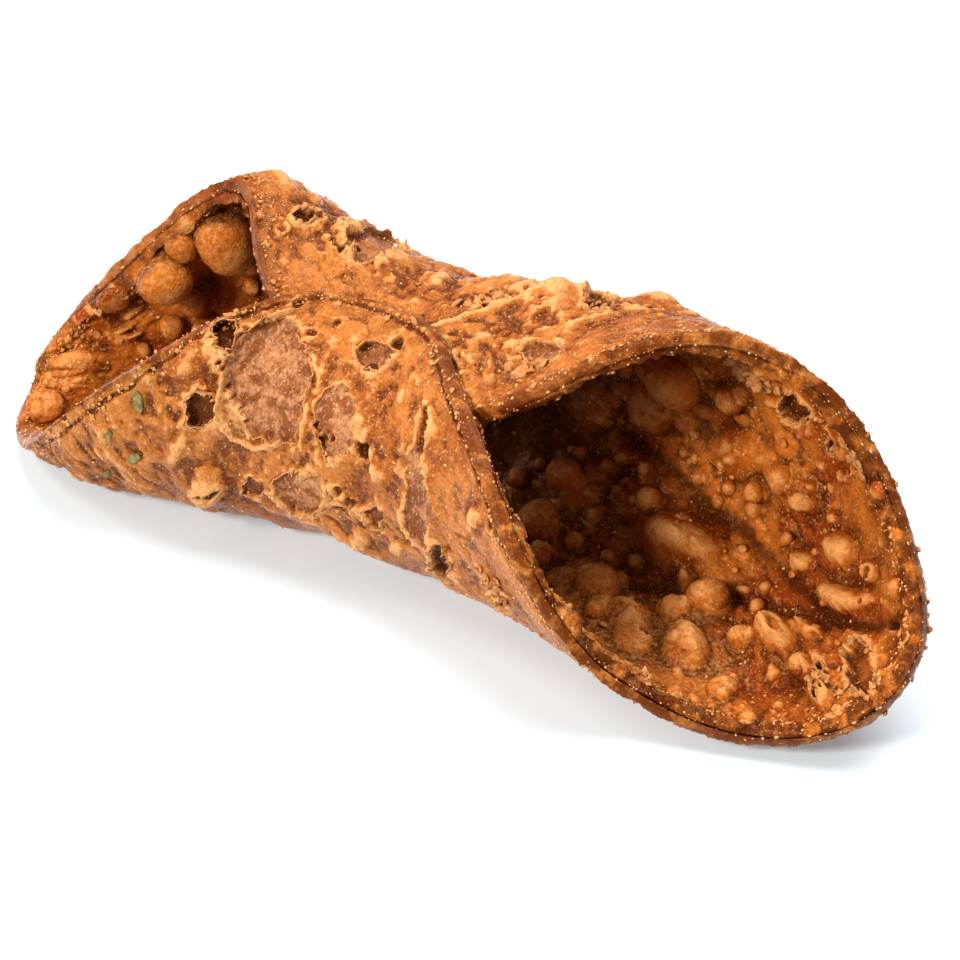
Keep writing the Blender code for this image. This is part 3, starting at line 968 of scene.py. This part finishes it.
def local_frame(along, around, side):
    """Point on a face, and the directions along the tube, round it and out of the face."""
    a, r = np.array([along]), np.array([around])
    base, normal = (rows[0] for rows in face_base(side, a, r))
    run = (wrapped(a + SLOPE_STEP, r) - wrapped(a - SLOPE_STEP, r))[0]
    run = run - normal * np.dot(run, normal)
    run = run / np.linalg.norm(run)
    return base, run, np.cross(normal, run), normal


def stamp_matrix(along, around, side, lift, sizes, spin, tip=0.0):
    """Matrix that puts a unit solid on a face, stretched to sizes and turned by spin and tip."""
    base, run, cross, normal = local_frame(along, around, side)
    place = base + normal * lift
    place[2] = max(place[2], max(sizes) * TABLE_CLEARANCE)
    axes = Matrix((run, cross, normal)).transposed()
    turn = Matrix.Rotation(spin, 3, "Z") @ Matrix.Rotation(tip, 3, "X")
    matrix = (axes @ turn @ Matrix.Diagonal(Vector(sizes))).to_4x4()
    matrix.translation = Vector(place)
    return matrix


def edge_distance(along, around):
    """Distance in mm of one point of the sheet from its cut edge, less than 0 beyond it."""
    a, r = np.array([along]), np.array([around])
    reach = sheet_edge(sheet_direction(a, r))[0]
    return reach - math.hypot(along - SHEET_CENTRE[0], around - SHEET_CENTRE[1])


def height_at(face, along, around):
    """Height of a skin's front at one point, rim included."""
    from_edge = np.array([max(edge_distance(along, around), 0.0)])
    return float(front_lift(face, np.array([along]), np.array([around]), from_edge)[0])


class Heap:
    """Many small solids gathered into one mesh, a batch at a time because a small bmesh is quick."""

    def __init__(self):
        self.whole = bmesh.new()
        self.batch = bmesh.new()
        self.waiting = 0

    def ball(self, matrix, subdivisions):
        """Adds a round solid and returns its points."""
        if self.waiting >= BATCH_SIZE:
            self.settle()
        self.waiting += 1
        made = bmesh.ops.create_icosphere(self.batch, subdivisions=subdivisions, radius=1.0, matrix=matrix)
        return made["verts"]

    def take(self, bm):
        """Adds everything in another bmesh, and empties that one."""
        scratch = bpy.data.meshes.new("scratch")
        bm.to_mesh(scratch)
        bm.free()
        self.whole.from_mesh(scratch)
        bpy.data.meshes.remove(scratch)

    def settle(self):
        """Moves the batch to the whole, and returns the whole."""
        self.take(self.batch)
        self.batch = bmesh.new()
        self.waiting = 0
        return self.whole


def finish_piece(name, bm, maps=None):
    """Turns a bmesh in millimetres into an object in metres that rides with the shell."""
    bmesh.ops.recalc_face_normals(bm, faces=bm.faces[:])
    bmesh.ops.scale(bm, vec=(MM, MM, MM), verts=bm.verts[:])
    for f in bm.faces:
        f.smooth = True
    mesh = bpy.data.meshes.new(name)
    bm.to_mesh(mesh)
    bm.free()
    for key, values in (maps or {}).items():
        add_map(mesh, key, values)
    piece = add_object(name, mesh)
    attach(piece, BODY)
    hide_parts(NODE)
    print(name, "faces:", len(mesh.polygons))
    return piece


# %% Whole bubbles
# Along, around, half-length, half-width, height above the wall.
INSIDE_BUBBLES = (
    (-48.3, -40.2, 4.0, 4.4, 7.0),
    (-54.2, -42.4, 3.6, 3.6, 5.4),
    (-58.8, -38.8, 2.3, 2.4, 1.6),
    (-51.3, -43.4, 2.2, 2.6, 3.6),
    (-52.2, -25.6, 1.7, 2.0, 3.0),
    (-53.4, -20.8, 1.6, 1.7, 2.2),
    (-54.9, -15.2, 1.1, 1.1, 0.9),
    (-46.5, -27.2, 1.3, 1.5, 1.4),
    (-46.3, -23.6, 1.2, 1.3, 1.3),
    (-44.9, -36.5, 1.5, 2.4, 2.2),
    (-61.2, -16.2, 2.6, 0.9, 0.12),
    (-60.6, -14.0, 2.6, 0.9, 0.20),
    (-61.4, -11.8, 2.6, 1.0, 0.22),
    (-60.6, -9.4, 2.8, 0.9, 0.14),
    (-61.5, -7.2, 2.5, 1.0, 0.22),
    (-60.8, -4.8, 2.6, 0.9, 0.14),
    (-61.5, -2.6, 2.3, 1.0, 0.20),
    (-61.0, 0.0, 2.2, 0.9, 0.14),
    (-61.4, 6.2, 2.4, 2.3, 0.9),
)
# How far a bubble may reach into the wall, and how far small solids stay from the cut edge.
BUBBLE_ROOT = 0.9
EDGE_MARGIN = 1.0
# Size, standing height and half-height of a round cap, as shares of its dome's radius.
CAP_SIZE = 0.86
CAP_RISE = 0.14
CAP_TALL = 0.78


def sunk(rows):
    """Adds a half-height to rows of bubbles that are sunk part way into their face."""
    return [(*row, 0.62 * max(row[4], 0.55 * min(row[2:4]) + 0.45 * row[4])) for row in rows]


def capping(rows, holes):
    """Round caps for the steeper domes of a relief, leaving out those that carry a hole."""
    caps = []
    for along, around, half_length, half_width, rise, _ in rows:
        radius = math.sqrt(half_length * half_width)
        holed = any(math.hypot(hole[0] - along, hole[1] - around) < radius for hole in holes)
        plump = rise > 0.5 * half_width and half_length < 1.45 * half_width
        if plump and not holed and along > -10.0:
            half = CAP_SIZE * radius
            caps.append((along, around, half, half, CAP_RISE * radius, CAP_TALL * radius))
    return caps


def make_bubbles(name, sources, seed):
    """Bubbles set into their face. Each source is a face, its side and its rows."""
    random = np.random.default_rng(seed)
    heap = Heap()
    maps = {"pale": [], "hollow": []}
    for face, side, rows in sources:
        for along, around, half_length, half_width, rise, tall in rows:
            level = height_at(face, along, around)
            sizes = (half_length, half_width, tall)
            matrix = stamp_matrix(along, around, side, level + rise - tall, sizes, random.uniform(-0.3, 0.3))
            fine = 4 if half_length > 2.0 else 3
            made = heap.ball(matrix, fine)
            centre = matrix.translation
            foot, _, _, up = (Vector(part) for part in local_frame(along, around, side))
            # Painted light: bubbles in the light of either mouth are painted paler than those deeper inside.
            pale = 0.34 if along < -40.0 or around > -3.0 else 0.20
            for vert in made:
                offset = vert.co - centre
                mottle = noise.noise(vert.co * 1.1)
                swell = 0.16 * noise.noise(vert.co * (0.8 / half_length)) + 0.05 * noise.noise(vert.co * 1.7)
                vert.co = centre + offset * (1.0 + swell)
                too_deep = (vert.co - foot).dot(up) + BUBBLE_ROOT
                vert.co -= up * min(too_deep, 0.0)
                # Painted light and shade: each bubble is painted lighter towards its top and darker towards
                # its foot, with random mottling.
                top = offset.dot(up) / tall
                maps["pale"].append(pale)
                maps["hollow"].append(2.2 * top - 0.4 + 1.1 * mottle)
    return finish_piece(name, heap.settle(), maps)


def random_bubbles(face, count, along_span, around_span, sizes):
    """Rows of small bubbles at random places."""
    rows = []
    for _ in range(count):
        radius = sizes[0] + (sizes[1] - sizes[0]) * face.random.random() ** 2
        place = (face.random.uniform(*along_span), face.random.uniform(*around_span))
        rows.append((*place, radius * face.random.uniform(0.9, 1.3), radius, radius * 0.6))
    return rows


# Small bubbles crowd the floor and walls of the open mouth.
small_rows = random_bubbles(inner, 60, (0.0, 60.0), (-34.0, 20.0), (0.3, 0.7))
small_rows += random_bubbles(inner, 26, (-62.0, -46.0), (-40.0, 12.0), (0.3, 0.9))
small_rows = [row for row in small_rows if edge_distance(*row[:2]) > EDGE_MARGIN]
inside_rows = sunk(list(INSIDE_BUBBLES) + small_rows) + capping(INNER_DOMES + NEAR_DOMES, INNER_CRATERS)
bubbles = make_bubbles("bubbles", ((inner, -1, inside_rows),), seed=5)

# %% Torn lips round the craters
LIP_ROWS = 3
LIP_THICKNESS = 0.17
LIP_STEP = 0.22
LIP_ROOT = 0.55
LIP_CURL = 0.55
EDGE_SEARCH_STEPS = 8


def torn_edge(face, crater, turn):
    """Points of a crater's torn edge, following the same wobble as its map."""
    along, around, half_length, half_width, turn_deg = crater[:5]
    lean = math.radians(turn_deg)
    ahead, aside = half_length * np.cos(turn), half_width * np.sin(turn)
    goal_along = along + ahead * math.cos(lean) - aside * math.sin(lean)
    goal_around = around + ahead * math.sin(lean) + aside * math.cos(lean)
    edge_along, edge_around = goal_along, goal_around
    ragged = face.raggedness(half_length, half_width)
    for _ in range(EDGE_SEARCH_STEPS):
        next_along = goal_along - ragged * read_map(face.wobble[0], edge_along, edge_around)
        next_around = goal_around - ragged * read_map(face.wobble[1], edge_along, edge_around)
        edge_along = 0.5 * (edge_along + next_along)
        edge_around = 0.5 * (edge_around + next_around)
    return edge_along, edge_around


def lip_ring(count):
    """A plain closed ring with walls. For each point it also gives the turn, the row, from 0 at the foot
    to 1 at the top, and whether it is on the inner wall."""
    bm = bmesh.new()
    bmesh.ops.create_grid(bm, x_segments=count, y_segments=LIP_ROWS, size=1.0)
    for vert in bm.verts:
        turn = math.pi * vert.co.x
        vert.co = (math.cos(turn), math.sin(turn), vert.co.y * 0.5 + 0.5)
    bmesh.ops.remove_doubles(bm, verts=bm.verts[:], dist=0.001)
    bmesh.ops.recalc_face_normals(bm, faces=bm.faces[:])
    bmesh.ops.solidify(bm, geom=bm.faces[:], thickness=0.1)
    flat = np.array([vert.co for vert in bm.verts])
    radius = np.hypot(flat[:, 0], flat[:, 1])
    turn = np.arctan2(flat[:, 1], flat[:, 0]) % (2.0 * math.pi)
    return bm, turn, flat[:, 2], radius < 0.5 * (radius.min() + radius.max())


def make_lips(name, sources, seed):
    """Thin curled strips of skin that stand round the larger craters."""
    random = np.random.default_rng(seed)
    heap = Heap()
    for face, side, rows in sources:
        for crater in rows:
            along, around, half_length, half_width, _, _, lip, _, _ = crater
            count = max(14, int(2.0 * math.pi * math.sqrt(half_length * half_width) / LIP_STEP))
            bm, turn, row, inner_wall = lip_ring(count)
            edge_along, edge_around = torn_edge(face, crater, turn)
            phase = random.uniform(0.0, 2.0 * math.pi, 3)
            slow = 0.5 * np.sin(2.0 * turn + phase[0]) + 0.4 * np.sin(5.0 * turn + phase[1])
            slow = slow + 0.3 * np.sin(11.0 * turn + phase[2])
            teeth = random.normal(0.0, 1.0, count)
            teeth = (teeth + 0.8 * np.roll(teeth, 1) + 0.5 * np.roll(teeth, 2)) / 1.6
            place_on_ring = np.round(turn * count / (2.0 * math.pi)).astype(int) % count
            stand = lip * np.clip(0.35 + 0.5 * slow + 0.45 * teeth[place_on_ring], 0.0, 1.5)
            reach = np.hypot(edge_along - along, edge_around - around)
            inward = LIP_CURL * stand * row**2 - 0.12 + LIP_THICKNESS * inner_wall
            inward = inward / np.maximum(reach, 0.5 * half_width)
            edge_along = edge_along + (along - edge_along) * inward
            edge_around = edge_around + (around - edge_around) * inward
            around_edge = read_map(face.height, edge_along, edge_around)
            rim_level = np.maximum(around_edge, face.rim_level(crater))
            lift = rim_level - LIP_ROOT + (LIP_ROOT + stand) * row
            for vert, point in zip(bm.verts, face_points(side, edge_along, edge_around, lift)):
                vert.co = point
            heap.take(bm)
    count = len(heap.whole.verts)
    return finish_piece(name, heap.whole, {"pale": np.full(count, 0.42), "hollow": np.full(count, 0.5)})


outer_torn = [row for row in OUTER_CRATERS if row[6] >= 0.4 and row[3] >= 1.0]
inner_torn = [row for row in INNER_CRATERS if row[6] >= 0.5]
lips = make_lips("torn_lips", ((outer, 1, outer_torn), (inner, -1, inner_torn)), seed=9)

# %% Crumbs and beads
# Clusters of flaky crumbs: face, side, along, around, spread, count, size.
FLAKE_CLUSTERS = (
    (inner, -1, 31.5, -37.0, (3.2, 2.0), 34, 0.7),
    (outer, 1, 37.9, -38.2, (2.6, 1.4), 24, 0.7),
    (outer, 1, 45.0, -37.0, (5.0, 1.2), 26, 0.45),
    (inner, -1, 50.4, -35.0, (3.0, 1.4), 26, 0.5),
    (outer, 1, 13.2, -67.0, (2.4, 1.4), 26, 0.75),
    (outer, 1, 19.5, 36.5, (2.6, 1.6), 22, 0.5),
    (outer, 1, -0.9, -48.0, (3.4, 1.8), 26, 0.6),
    (outer, 1, 15.5, -50.0, (3.5, 2.0), 24, 0.5),
    (inner, -1, 57.0, -1.5, (2.6, 2.0), 26, 0.45),
    (inner, -1, 62.0, 0.0, (2.0, 4.0), 22, 0.45),
)
# Crumbs strewn along the cut edge, and how far any crumb has to stay from it.
EDGE_FLAKES = 420
EDGE_FLAKE_SIZE = 0.34
FLAKE_MARGIN = 0.3
# Most beads are close to the smallest radius, and a few are larger by up to the spread.
SMALLEST_BEAD = 0.08
BEAD_SPREAD = 0.14


def either_face(random, inner_share):
    """One of the two faces at random, with its side."""
    return (inner, -1) if random.random() < inner_share else (outer, 1)


def edge_place(random, depth, start=0.7):
    """Random point of the sheet within a millimetre or two of its cut edge."""
    turn = random.uniform(0.0, 2.0 * math.pi)
    reach = sheet_edge(np.array([math.degrees(turn)]))[0] - start - abs(random.normal(0.0, depth))
    return SHEET_CENTRE[0] + reach * math.cos(turn), SHEET_CENTRE[1] + reach * math.sin(turn)


def make_flakes(name, seed):
    """Rough crumbs in clusters and along the cut edge."""
    random = np.random.default_rng(seed)
    heap = Heap()
    places = []
    for face, side, along, around, spread, count, size in FLAKE_CLUSTERS:
        for _ in range(count):
            offset = random.normal(0.0, 0.6, 2) * np.array(spread)
            places.append((face, side, along + offset[0], around + offset[1], size))
    for _ in range(EDGE_FLAKES):
        face, side = either_face(random, 0.5)
        places.append((face, side, *edge_place(random, 1.1), EDGE_FLAKE_SIZE))
    for face, side, along, around, size in places:
        if edge_distance(along, around) < FLAKE_MARGIN:
            continue
        radius = size * random.uniform(0.5, 1.3)
        sizes = (radius * random.uniform(0.8, 1.5), radius, radius * random.uniform(0.3, 0.6))
        lift = height_at(face, along, around) + 0.25 * radius
        spin, tip = random.uniform(0.0, 6.28), random.normal(0.0, 0.6)
        matrix = stamp_matrix(along, around, side, lift, sizes, spin, tip)
        made = heap.ball(matrix, 2)
        centre = matrix.translation
        for vert in made:
            offset = vert.co - centre
            vert.co = centre + offset * (1.0 + 0.9 * noise.noise(vert.co * (1.6 / radius)))
    whole = heap.settle()
    count = len(whole.verts)
    return finish_piece(name, whole, {"pale": np.full(count, 0.35), "hollow": np.full(count, 0.5)})


flakes = make_flakes("flakes", seed=17)


def make_beads(name, seed, edge_count, open_count):
    """Tiny fried beads, thickest along the cut edge."""
    random = np.random.default_rng(seed)
    heap = Heap()
    for index in range(edge_count + open_count):
        face, side = either_face(random, 0.45)
        if index < edge_count // 5:
            along, around = edge_place(random, 0.25, -0.1)
        elif index < edge_count:
            along, around = edge_place(random, 1.6)
        else:
            along, around = random.uniform(-62.0, 64.0), random.uniform(-72.0, 56.0)
            if edge_distance(along, around) < EDGE_MARGIN:
                continue
        radius = SMALLEST_BEAD + BEAD_SPREAD * random.random() ** 3
        sizes = (radius * random.uniform(1.0, 1.9), radius, radius * 0.8)
        lift = height_at(face, along, around) + 0.3 * radius
        matrix = stamp_matrix(along, around, side, lift, sizes, random.uniform(0.0, 3.14))
        heap.ball(matrix, 1)
    return finish_piece(name, heap.settle())


beads = make_beads("beads", 29, 3400, 3600)

# %% Green flecks
# A few flecks of something green were fried into the left of the near flap.
GREEN_FLECKS = (
    (-35.2, 39.6, 1.6, 0.65, 95.0),
    (-36.2, 31.4, 1.4, 0.7, 47.0),
    (-41.2, 27.1, 1.3, 0.45, 61.0),
    (-38.6, 35.0, 1.0, 0.4, 80.0),
)


def make_flecks(name):
    """Flattened green flecks half sunk in the dough."""
    bm = bmesh.new()
    for along, around, half_length, half_width, turn_deg in GREEN_FLECKS:
        lift = height_at(outer, along, around) + 0.12
        sizes = (half_length, half_width, 0.3)
        matrix = stamp_matrix(along, around, 1, lift, sizes, math.radians(turn_deg))
        made = bmesh.ops.create_icosphere(bm, subdivisions=3, radius=1.0, matrix=matrix)["verts"]
        for vert in made:
            vert.co = vert.co + Vector(noise.noise_vector(vert.co * 1.3)) * 0.22
    return finish_piece(name, bm)


green_flecks = make_flecks("green_flecks")

# %% [markdown]
# ## Fried dough finish
# Fried dough is never one brown. Broad patches drift from amber to chestnut, painted shade darkens the
# hollows of the relief, painted light lifts its tops, and torn edges stay paler. The maps stored on each
# skin say where the dough is bare or pale and where light and shade are painted, and procedural noise
# breaks up their borders. Bump adds only the pores and fine crust that are too small for the mesh.

# %% Node helpers
# Each set of tones runs from the darkest brown, also used for the painted shade of creases, through mid
# brown and gold to pale crumbs. Gold and cream also paint light onto raised tops.
OUTSIDE_TONES = (
    (0.085, 0.011, 0.001, 1.0),
    (0.275, 0.063, 0.007, 1.0),
    (0.430, 0.132, 0.022, 1.0),
    (0.760, 0.395, 0.155, 1.0),
)
INSIDE_TONES = (
    (0.042, 0.004, 0.0004, 1.0),
    (0.240, 0.035, 0.002, 1.0),
    (0.470, 0.122, 0.012, 1.0),
    (0.760, 0.370, 0.120, 1.0),
)
BARE_PALE = (0.390, 0.165, 0.070, 1.0)
BARE_RED = (0.160, 0.044, 0.014, 1.0)
BARE_FIBRE = (0.560, 0.335, 0.190, 1.0)
# Near black for painted shade.
PAINTED_SHADE_BROWN = (0.028, 0.003, 0.0004, 1.0)
OILY_SHEEN = (1.0, 0.46, 0.16, 1.0)


class Finish:
    """A material being built, with short ways to add and join its nodes."""

    def __init__(self, name):
        self.material = bpy.data.materials.new(name)
        self.material.use_nodes = True
        self.tree = self.material.node_tree
        self.shader = self.tree.nodes["Principled BSDF"]
        self.place = self.node("TexCoord", "Object", {})

    def join(self, source, socket):
        """Joins an output to an input, or sets the input when the source is a plain value."""
        if isinstance(source, bpy.types.NodeSocket):
            self.tree.links.new(source, socket)
        else:
            socket.default_value = source

    def node(self, kind, output, inputs, **settings):
        """Adds a node with its settings and inputs, and returns one of its outputs."""
        made = self.tree.nodes.new("ShaderNode" + kind)
        for name, value in settings.items():
            setattr(made, name, value)
        for name, source in inputs.items():
            self.join(source, made.inputs[name])
        return made.outputs[output]

    def surface(self, **sources):
        """Sets inputs of the surface shader, named with underscores for spaces."""
        for name, source in sources.items():
            self.join(source, self.shader.inputs[name.replace("_", " ")])

    def stored(self, name):
        """Values of one of the maps stored on the mesh."""
        return self.node("Attribute", "Fac", {}, attribute_name=name)

    def noise(self, grain_mm, detail=3.0, roughness=0.55, distortion=0.0, place=None):
        """Soft random noise between 0 and 1."""
        inputs = {"Vector": place or self.place, "Scale": 1.0 / (grain_mm * MM)}
        inputs.update({"Detail": detail, "Roughness": roughness, "Distortion": distortion})
        return self.node("TexNoise", "Fac", inputs)

    def drawn_out(self, scale):
        """Object coordinates squeezed along the axes, which draws patterns out the same way."""
        return self.node("Mapping", "Vector", {"Vector": self.place, "Scale": scale})

    def cells(self, grain_mm):
        """Distance to the nearest of many scattered points."""
        return self.node("TexVoronoi", "Distance", {"Vector": self.place, "Scale": 1.0 / (grain_mm * MM)})

    def span(self, value, low, high, to_low=0.0, to_high=1.0):
        """Smooth step of a value from low to high."""
        inputs = {"Value": value, "From Min": low, "From Max": high, "To Min": to_low, "To Max": to_high}
        return self.node("MapRange", "Result", inputs, interpolation_type="SMOOTHSTEP")

    def maths(self, operation, first, second):
        """One sum on two values."""
        return self.node("Math", "Value", {0: first, 1: second}, operation=operation)

    def mix(self, share, first, second):
        """Blend of two colours, from all first at 0 to all second at 1."""
        return self.node("Mix", "Result", {"Factor": share, "A": first, "B": second}, data_type="RGBA")

    def bump(self, height, depth_mm, strength, **under):
        """Surface direction tilted by a height. A bump already there is passed on as Normal."""
        inputs = {"Height": height, "Distance": depth_mm * MM, "Strength": strength, **under}
        return self.node("Bump", "Normal", inputs)


# %% Fried dough
def fried_dough(name, tones, paler=0.0, dusty=0.6, crease_shade=0.92):
    """Blistered brown dough. Paler lifts the whole finish towards cream, for crumbs and torn skin.
    Dusty is the strength of the finest mottling, which oily dough has little of. The last argument is how
    dark the painted shade in the creases is."""
    dough = Finish(name)
    crease, brown, gold, cream = tones
    broad = dough.noise(9.0, 3.0, 0.5)
    middle = dough.noise(2.4, 4.0, 0.6, 0.4)
    fine = dough.noise(0.60, 5.0, 0.65)
    grain = dough.noise(0.32, 3.0, 0.7)
    hollow = dough.stored("hollow")
    colour = dough.mix(dough.span(broad, 0.38, 0.60), brown, gold)
    # Each row: value, where its tone starts and is strongest, its strength, and the tone.
    mottling = (
        (middle, 0.52, 0.68, 0.28, crease),
        # The relief map paints shade into the hollows and light onto the tops.
        (hollow, 0.0, -1.5, crease_shade, crease),
        (hollow, 0.2, 1.6, 0.75, gold),
        (hollow, 0.7, 2.5, 0.60, cream),
        (fine, 0.49, 0.34, 0.50 * dusty, crease),
        (fine, 0.53, 0.68, 0.38 * dusty, cream),
        (grain, 0.48, 0.36, 0.40 * dusty, crease),
        (grain, 0.53, 0.66, 0.30 * dusty, cream),
    )
    for value, start, strongest, strength, tone in mottling:
        colour = dough.mix(dough.span(value, start, strongest, 0.0, strength), colour, tone)
    # Hair-fine curls of crust and pinhead specks are paler than the dough round them.
    line = dough.maths("ABSOLUTE", dough.maths("SUBTRACT", dough.noise(1.0, 1.5, 0.6), 0.5), 0.0)
    broken = dough.span(dough.noise(0.9, 2.0), 0.52, 0.60)
    curls = dough.maths("MULTIPLY", dough.span(line, 0.006, 0.030, 1.0, 0.0), broken)
    specks = dough.span(dough.cells(0.75), 0.12, 0.24, 1.0, 0.0)
    specks = dough.maths("MULTIPLY", specks, dough.span(dough.noise(2.2, 3.0), 0.42, 0.56))
    crumbs = dough.maths("MAXIMUM", curls, specks)
    colour = dough.mix(dough.maths("MULTIPLY", crumbs, 0.60), colour, cream)
    frayed = dough.maths("MULTIPLY", dough.maths("SUBTRACT", fine, 0.5), 1.1)
    pale = dough.maths("ADD", dough.stored("pale"), frayed)
    colour = dough.mix(dough.span(pale, 0.25, 0.85, paler, 0.75), colour, cream)
    # Bare patches are mottled pink and brown, with short pale fibres that are thickest where it is pale.
    fibres = dough.noise(0.42, 3.0, 0.65, place=dough.drawn_out((1.0, 1.0, 0.40)))
    bare_colour = dough.mix(dough.span(middle, 0.42, 0.56), BARE_PALE, BARE_RED)
    bare_mottling = (
        (fine, 0.50, 0.36, 0.60, BARE_RED),
        (fibres, 0.48, 0.36, 0.60, brown),
        (dough.stored("pale"), 0.0, 0.7, 0.65, BARE_FIBRE),
        (fibres, 0.53, 0.64, 0.45, BARE_FIBRE),
    )
    for value, start, strongest, strength, tone in bare_mottling:
        bare_colour = dough.mix(dough.span(value, start, strongest, 0.0, strength), bare_colour, tone)
    bare = dough.span(dough.maths("ADD", dough.stored("bare"), frayed), 0.30, 0.65)
    colour = dough.mix(bare, colour, bare_colour)
    rim = dough.maths("MULTIPLY", dough.stored("rim"), dough.span(middle, 0.28, 0.60))
    colour = dough.mix(dough.span(rim, 0.0, 1.0, 0.0, 0.85), colour, crease)
    # Painted shade: craters, grooves, valleys, the deep bore and the open split are darkened towards near
    # black.
    painted_shade = dough.maths("ADD", dough.stored("painted_shade"), frayed)
    colour = dough.mix(dough.span(painted_shade, 0.25, 1.0, 0.0, 0.92), colour, PAINTED_SHADE_BROWN)
    rough = dough.maths("ADD", dough.span(fine, 0.3, 0.7, 0.14, 0.30), dough.maths("MULTIPLY", bare, 0.3))
    pits = dough.span(dough.cells(0.9), 0.05, 0.26)
    crust = dough.bump(dough.noise(0.8, 5.0, 0.55), 0.14 + 0.16 * dusty, 0.9)
    crust = dough.bump(crumbs, 0.14, 0.9, Normal=crust)
    dough.surface(Base_Color=colour, Roughness=rough, Normal=dough.bump(pits, 0.06, 0.6, Normal=crust))
    dough.surface(IOR=1.45, Specular_IOR_Level=0.36, Specular_Tint=OILY_SHEEN)
    return dough.material


outside_finish = fried_dough("fried_dough", OUTSIDE_TONES)
inside_finish = fried_dough("fried_dough_inside", INSIDE_TONES, dusty=0.45, crease_shade=0.75)
crumb_finish = fried_dough("pale_crumb", OUTSIDE_TONES, paler=0.30)
bead_finish = fried_dough("bead_crumb", OUTSIDE_TONES, paler=0.85)
for skin in skins:
    skin.data.materials.append(outside_finish if "outside" in skin.name else inside_finish)
    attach(skin, BODY)
    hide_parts(NODE)
bubbles.data.materials.append(inside_finish)
lips.data.materials.append(crumb_finish)
flakes.data.materials.append(crumb_finish)
beads.data.materials.append(bead_finish)


# %% Green flecks finish
GREEN_DARK = (0.10, 0.075, 0.012, 1.0)
GREEN_LIGHT = (0.26, 0.19, 0.035, 1.0)
green = Finish("green_fleck")
green_mottle = green.span(green.noise(0.6, 4.0), 0.35, 0.65)
green.surface(Base_Color=green.mix(green_mottle, GREEN_DARK, GREEN_LIGHT))
green.surface(Roughness=green.span(green.noise(0.4), 0.3, 0.7, 0.45, 0.7))
green.surface(Normal=green.bump(green.noise(0.3, 4.0), 0.1, 0.6))
green_flecks.data.materials.append(green.material)

# %% [markdown]
# ## Floor and light
# The piece stands on a plain white table under one large soft light, with enough light from all round
# that shadows stay gentle. The table is big enough to fill the view.

# %% Floor
FLOOR_SIZE = 6.0
# The table is a cool grey that glows a little, so it shows as an even near-white.
TABLE_COLOUR = (0.58, 0.68, 0.76, 1.0)
TABLE_GLOW = 0.19
WHITE = (1.0, 1.0, 1.0, 1.0)
floor_bm = bmesh.new()
bmesh.ops.create_grid(floor_bm, x_segments=1, y_segments=1, size=FLOOR_SIZE / 2.0)
floor_mesh = bpy.data.meshes.new("table_top")
floor_bm.to_mesh(floor_mesh)
floor_bm.free()
table_top = add_object("table_top", floor_mesh)
white = Finish("white_table")
white.surface(Base_Color=TABLE_COLOUR, Roughness=0.9, Specular_IOR_Level=0.0)
white.surface(Emission_Color=WHITE, Emission_Strength=TABLE_GLOW)
table_top.data.materials.append(white.material)

# %% Lights
# Each light: name, place in metres, size in metres, watts, colour.
LIGHTS = (
    ("soft_overhead", (0.05, 0.28, 0.85), 0.85, 12.5, (1.0, 0.97, 0.93)),
    ("front_fill", (-0.12, -0.80, 0.55), 0.28, 10.5, (1.0, 0.93, 0.85)),
    ("left_fill", (-0.80, -0.20, 0.6), 0.30, 4.0, (1.0, 0.93, 0.85)),
)
SURROUNDING_LIGHT = 0.28
for name, place, size, watts, colour in LIGHTS:
    data = bpy.data.lights.new(name, "AREA")
    data.shape = "DISK"
    data.size = size
    data.energy = watts
    data.color = colour
    lamp = add_object(name, data)
    lamp.location = place
    lamp.rotation_euler = (-Vector(place)).to_track_quat("-Z", "Y").to_euler()
world = bpy.data.worlds.new("studio")
world.use_nodes = True
background = world.node_tree.nodes["Background"]
background.inputs["Color"].default_value = WHITE
background.inputs["Strength"].default_value = SURROUNDING_LIGHT
bpy.context.scene.world = world
bpy.context.scene.view_settings.view_transform = "Standard"
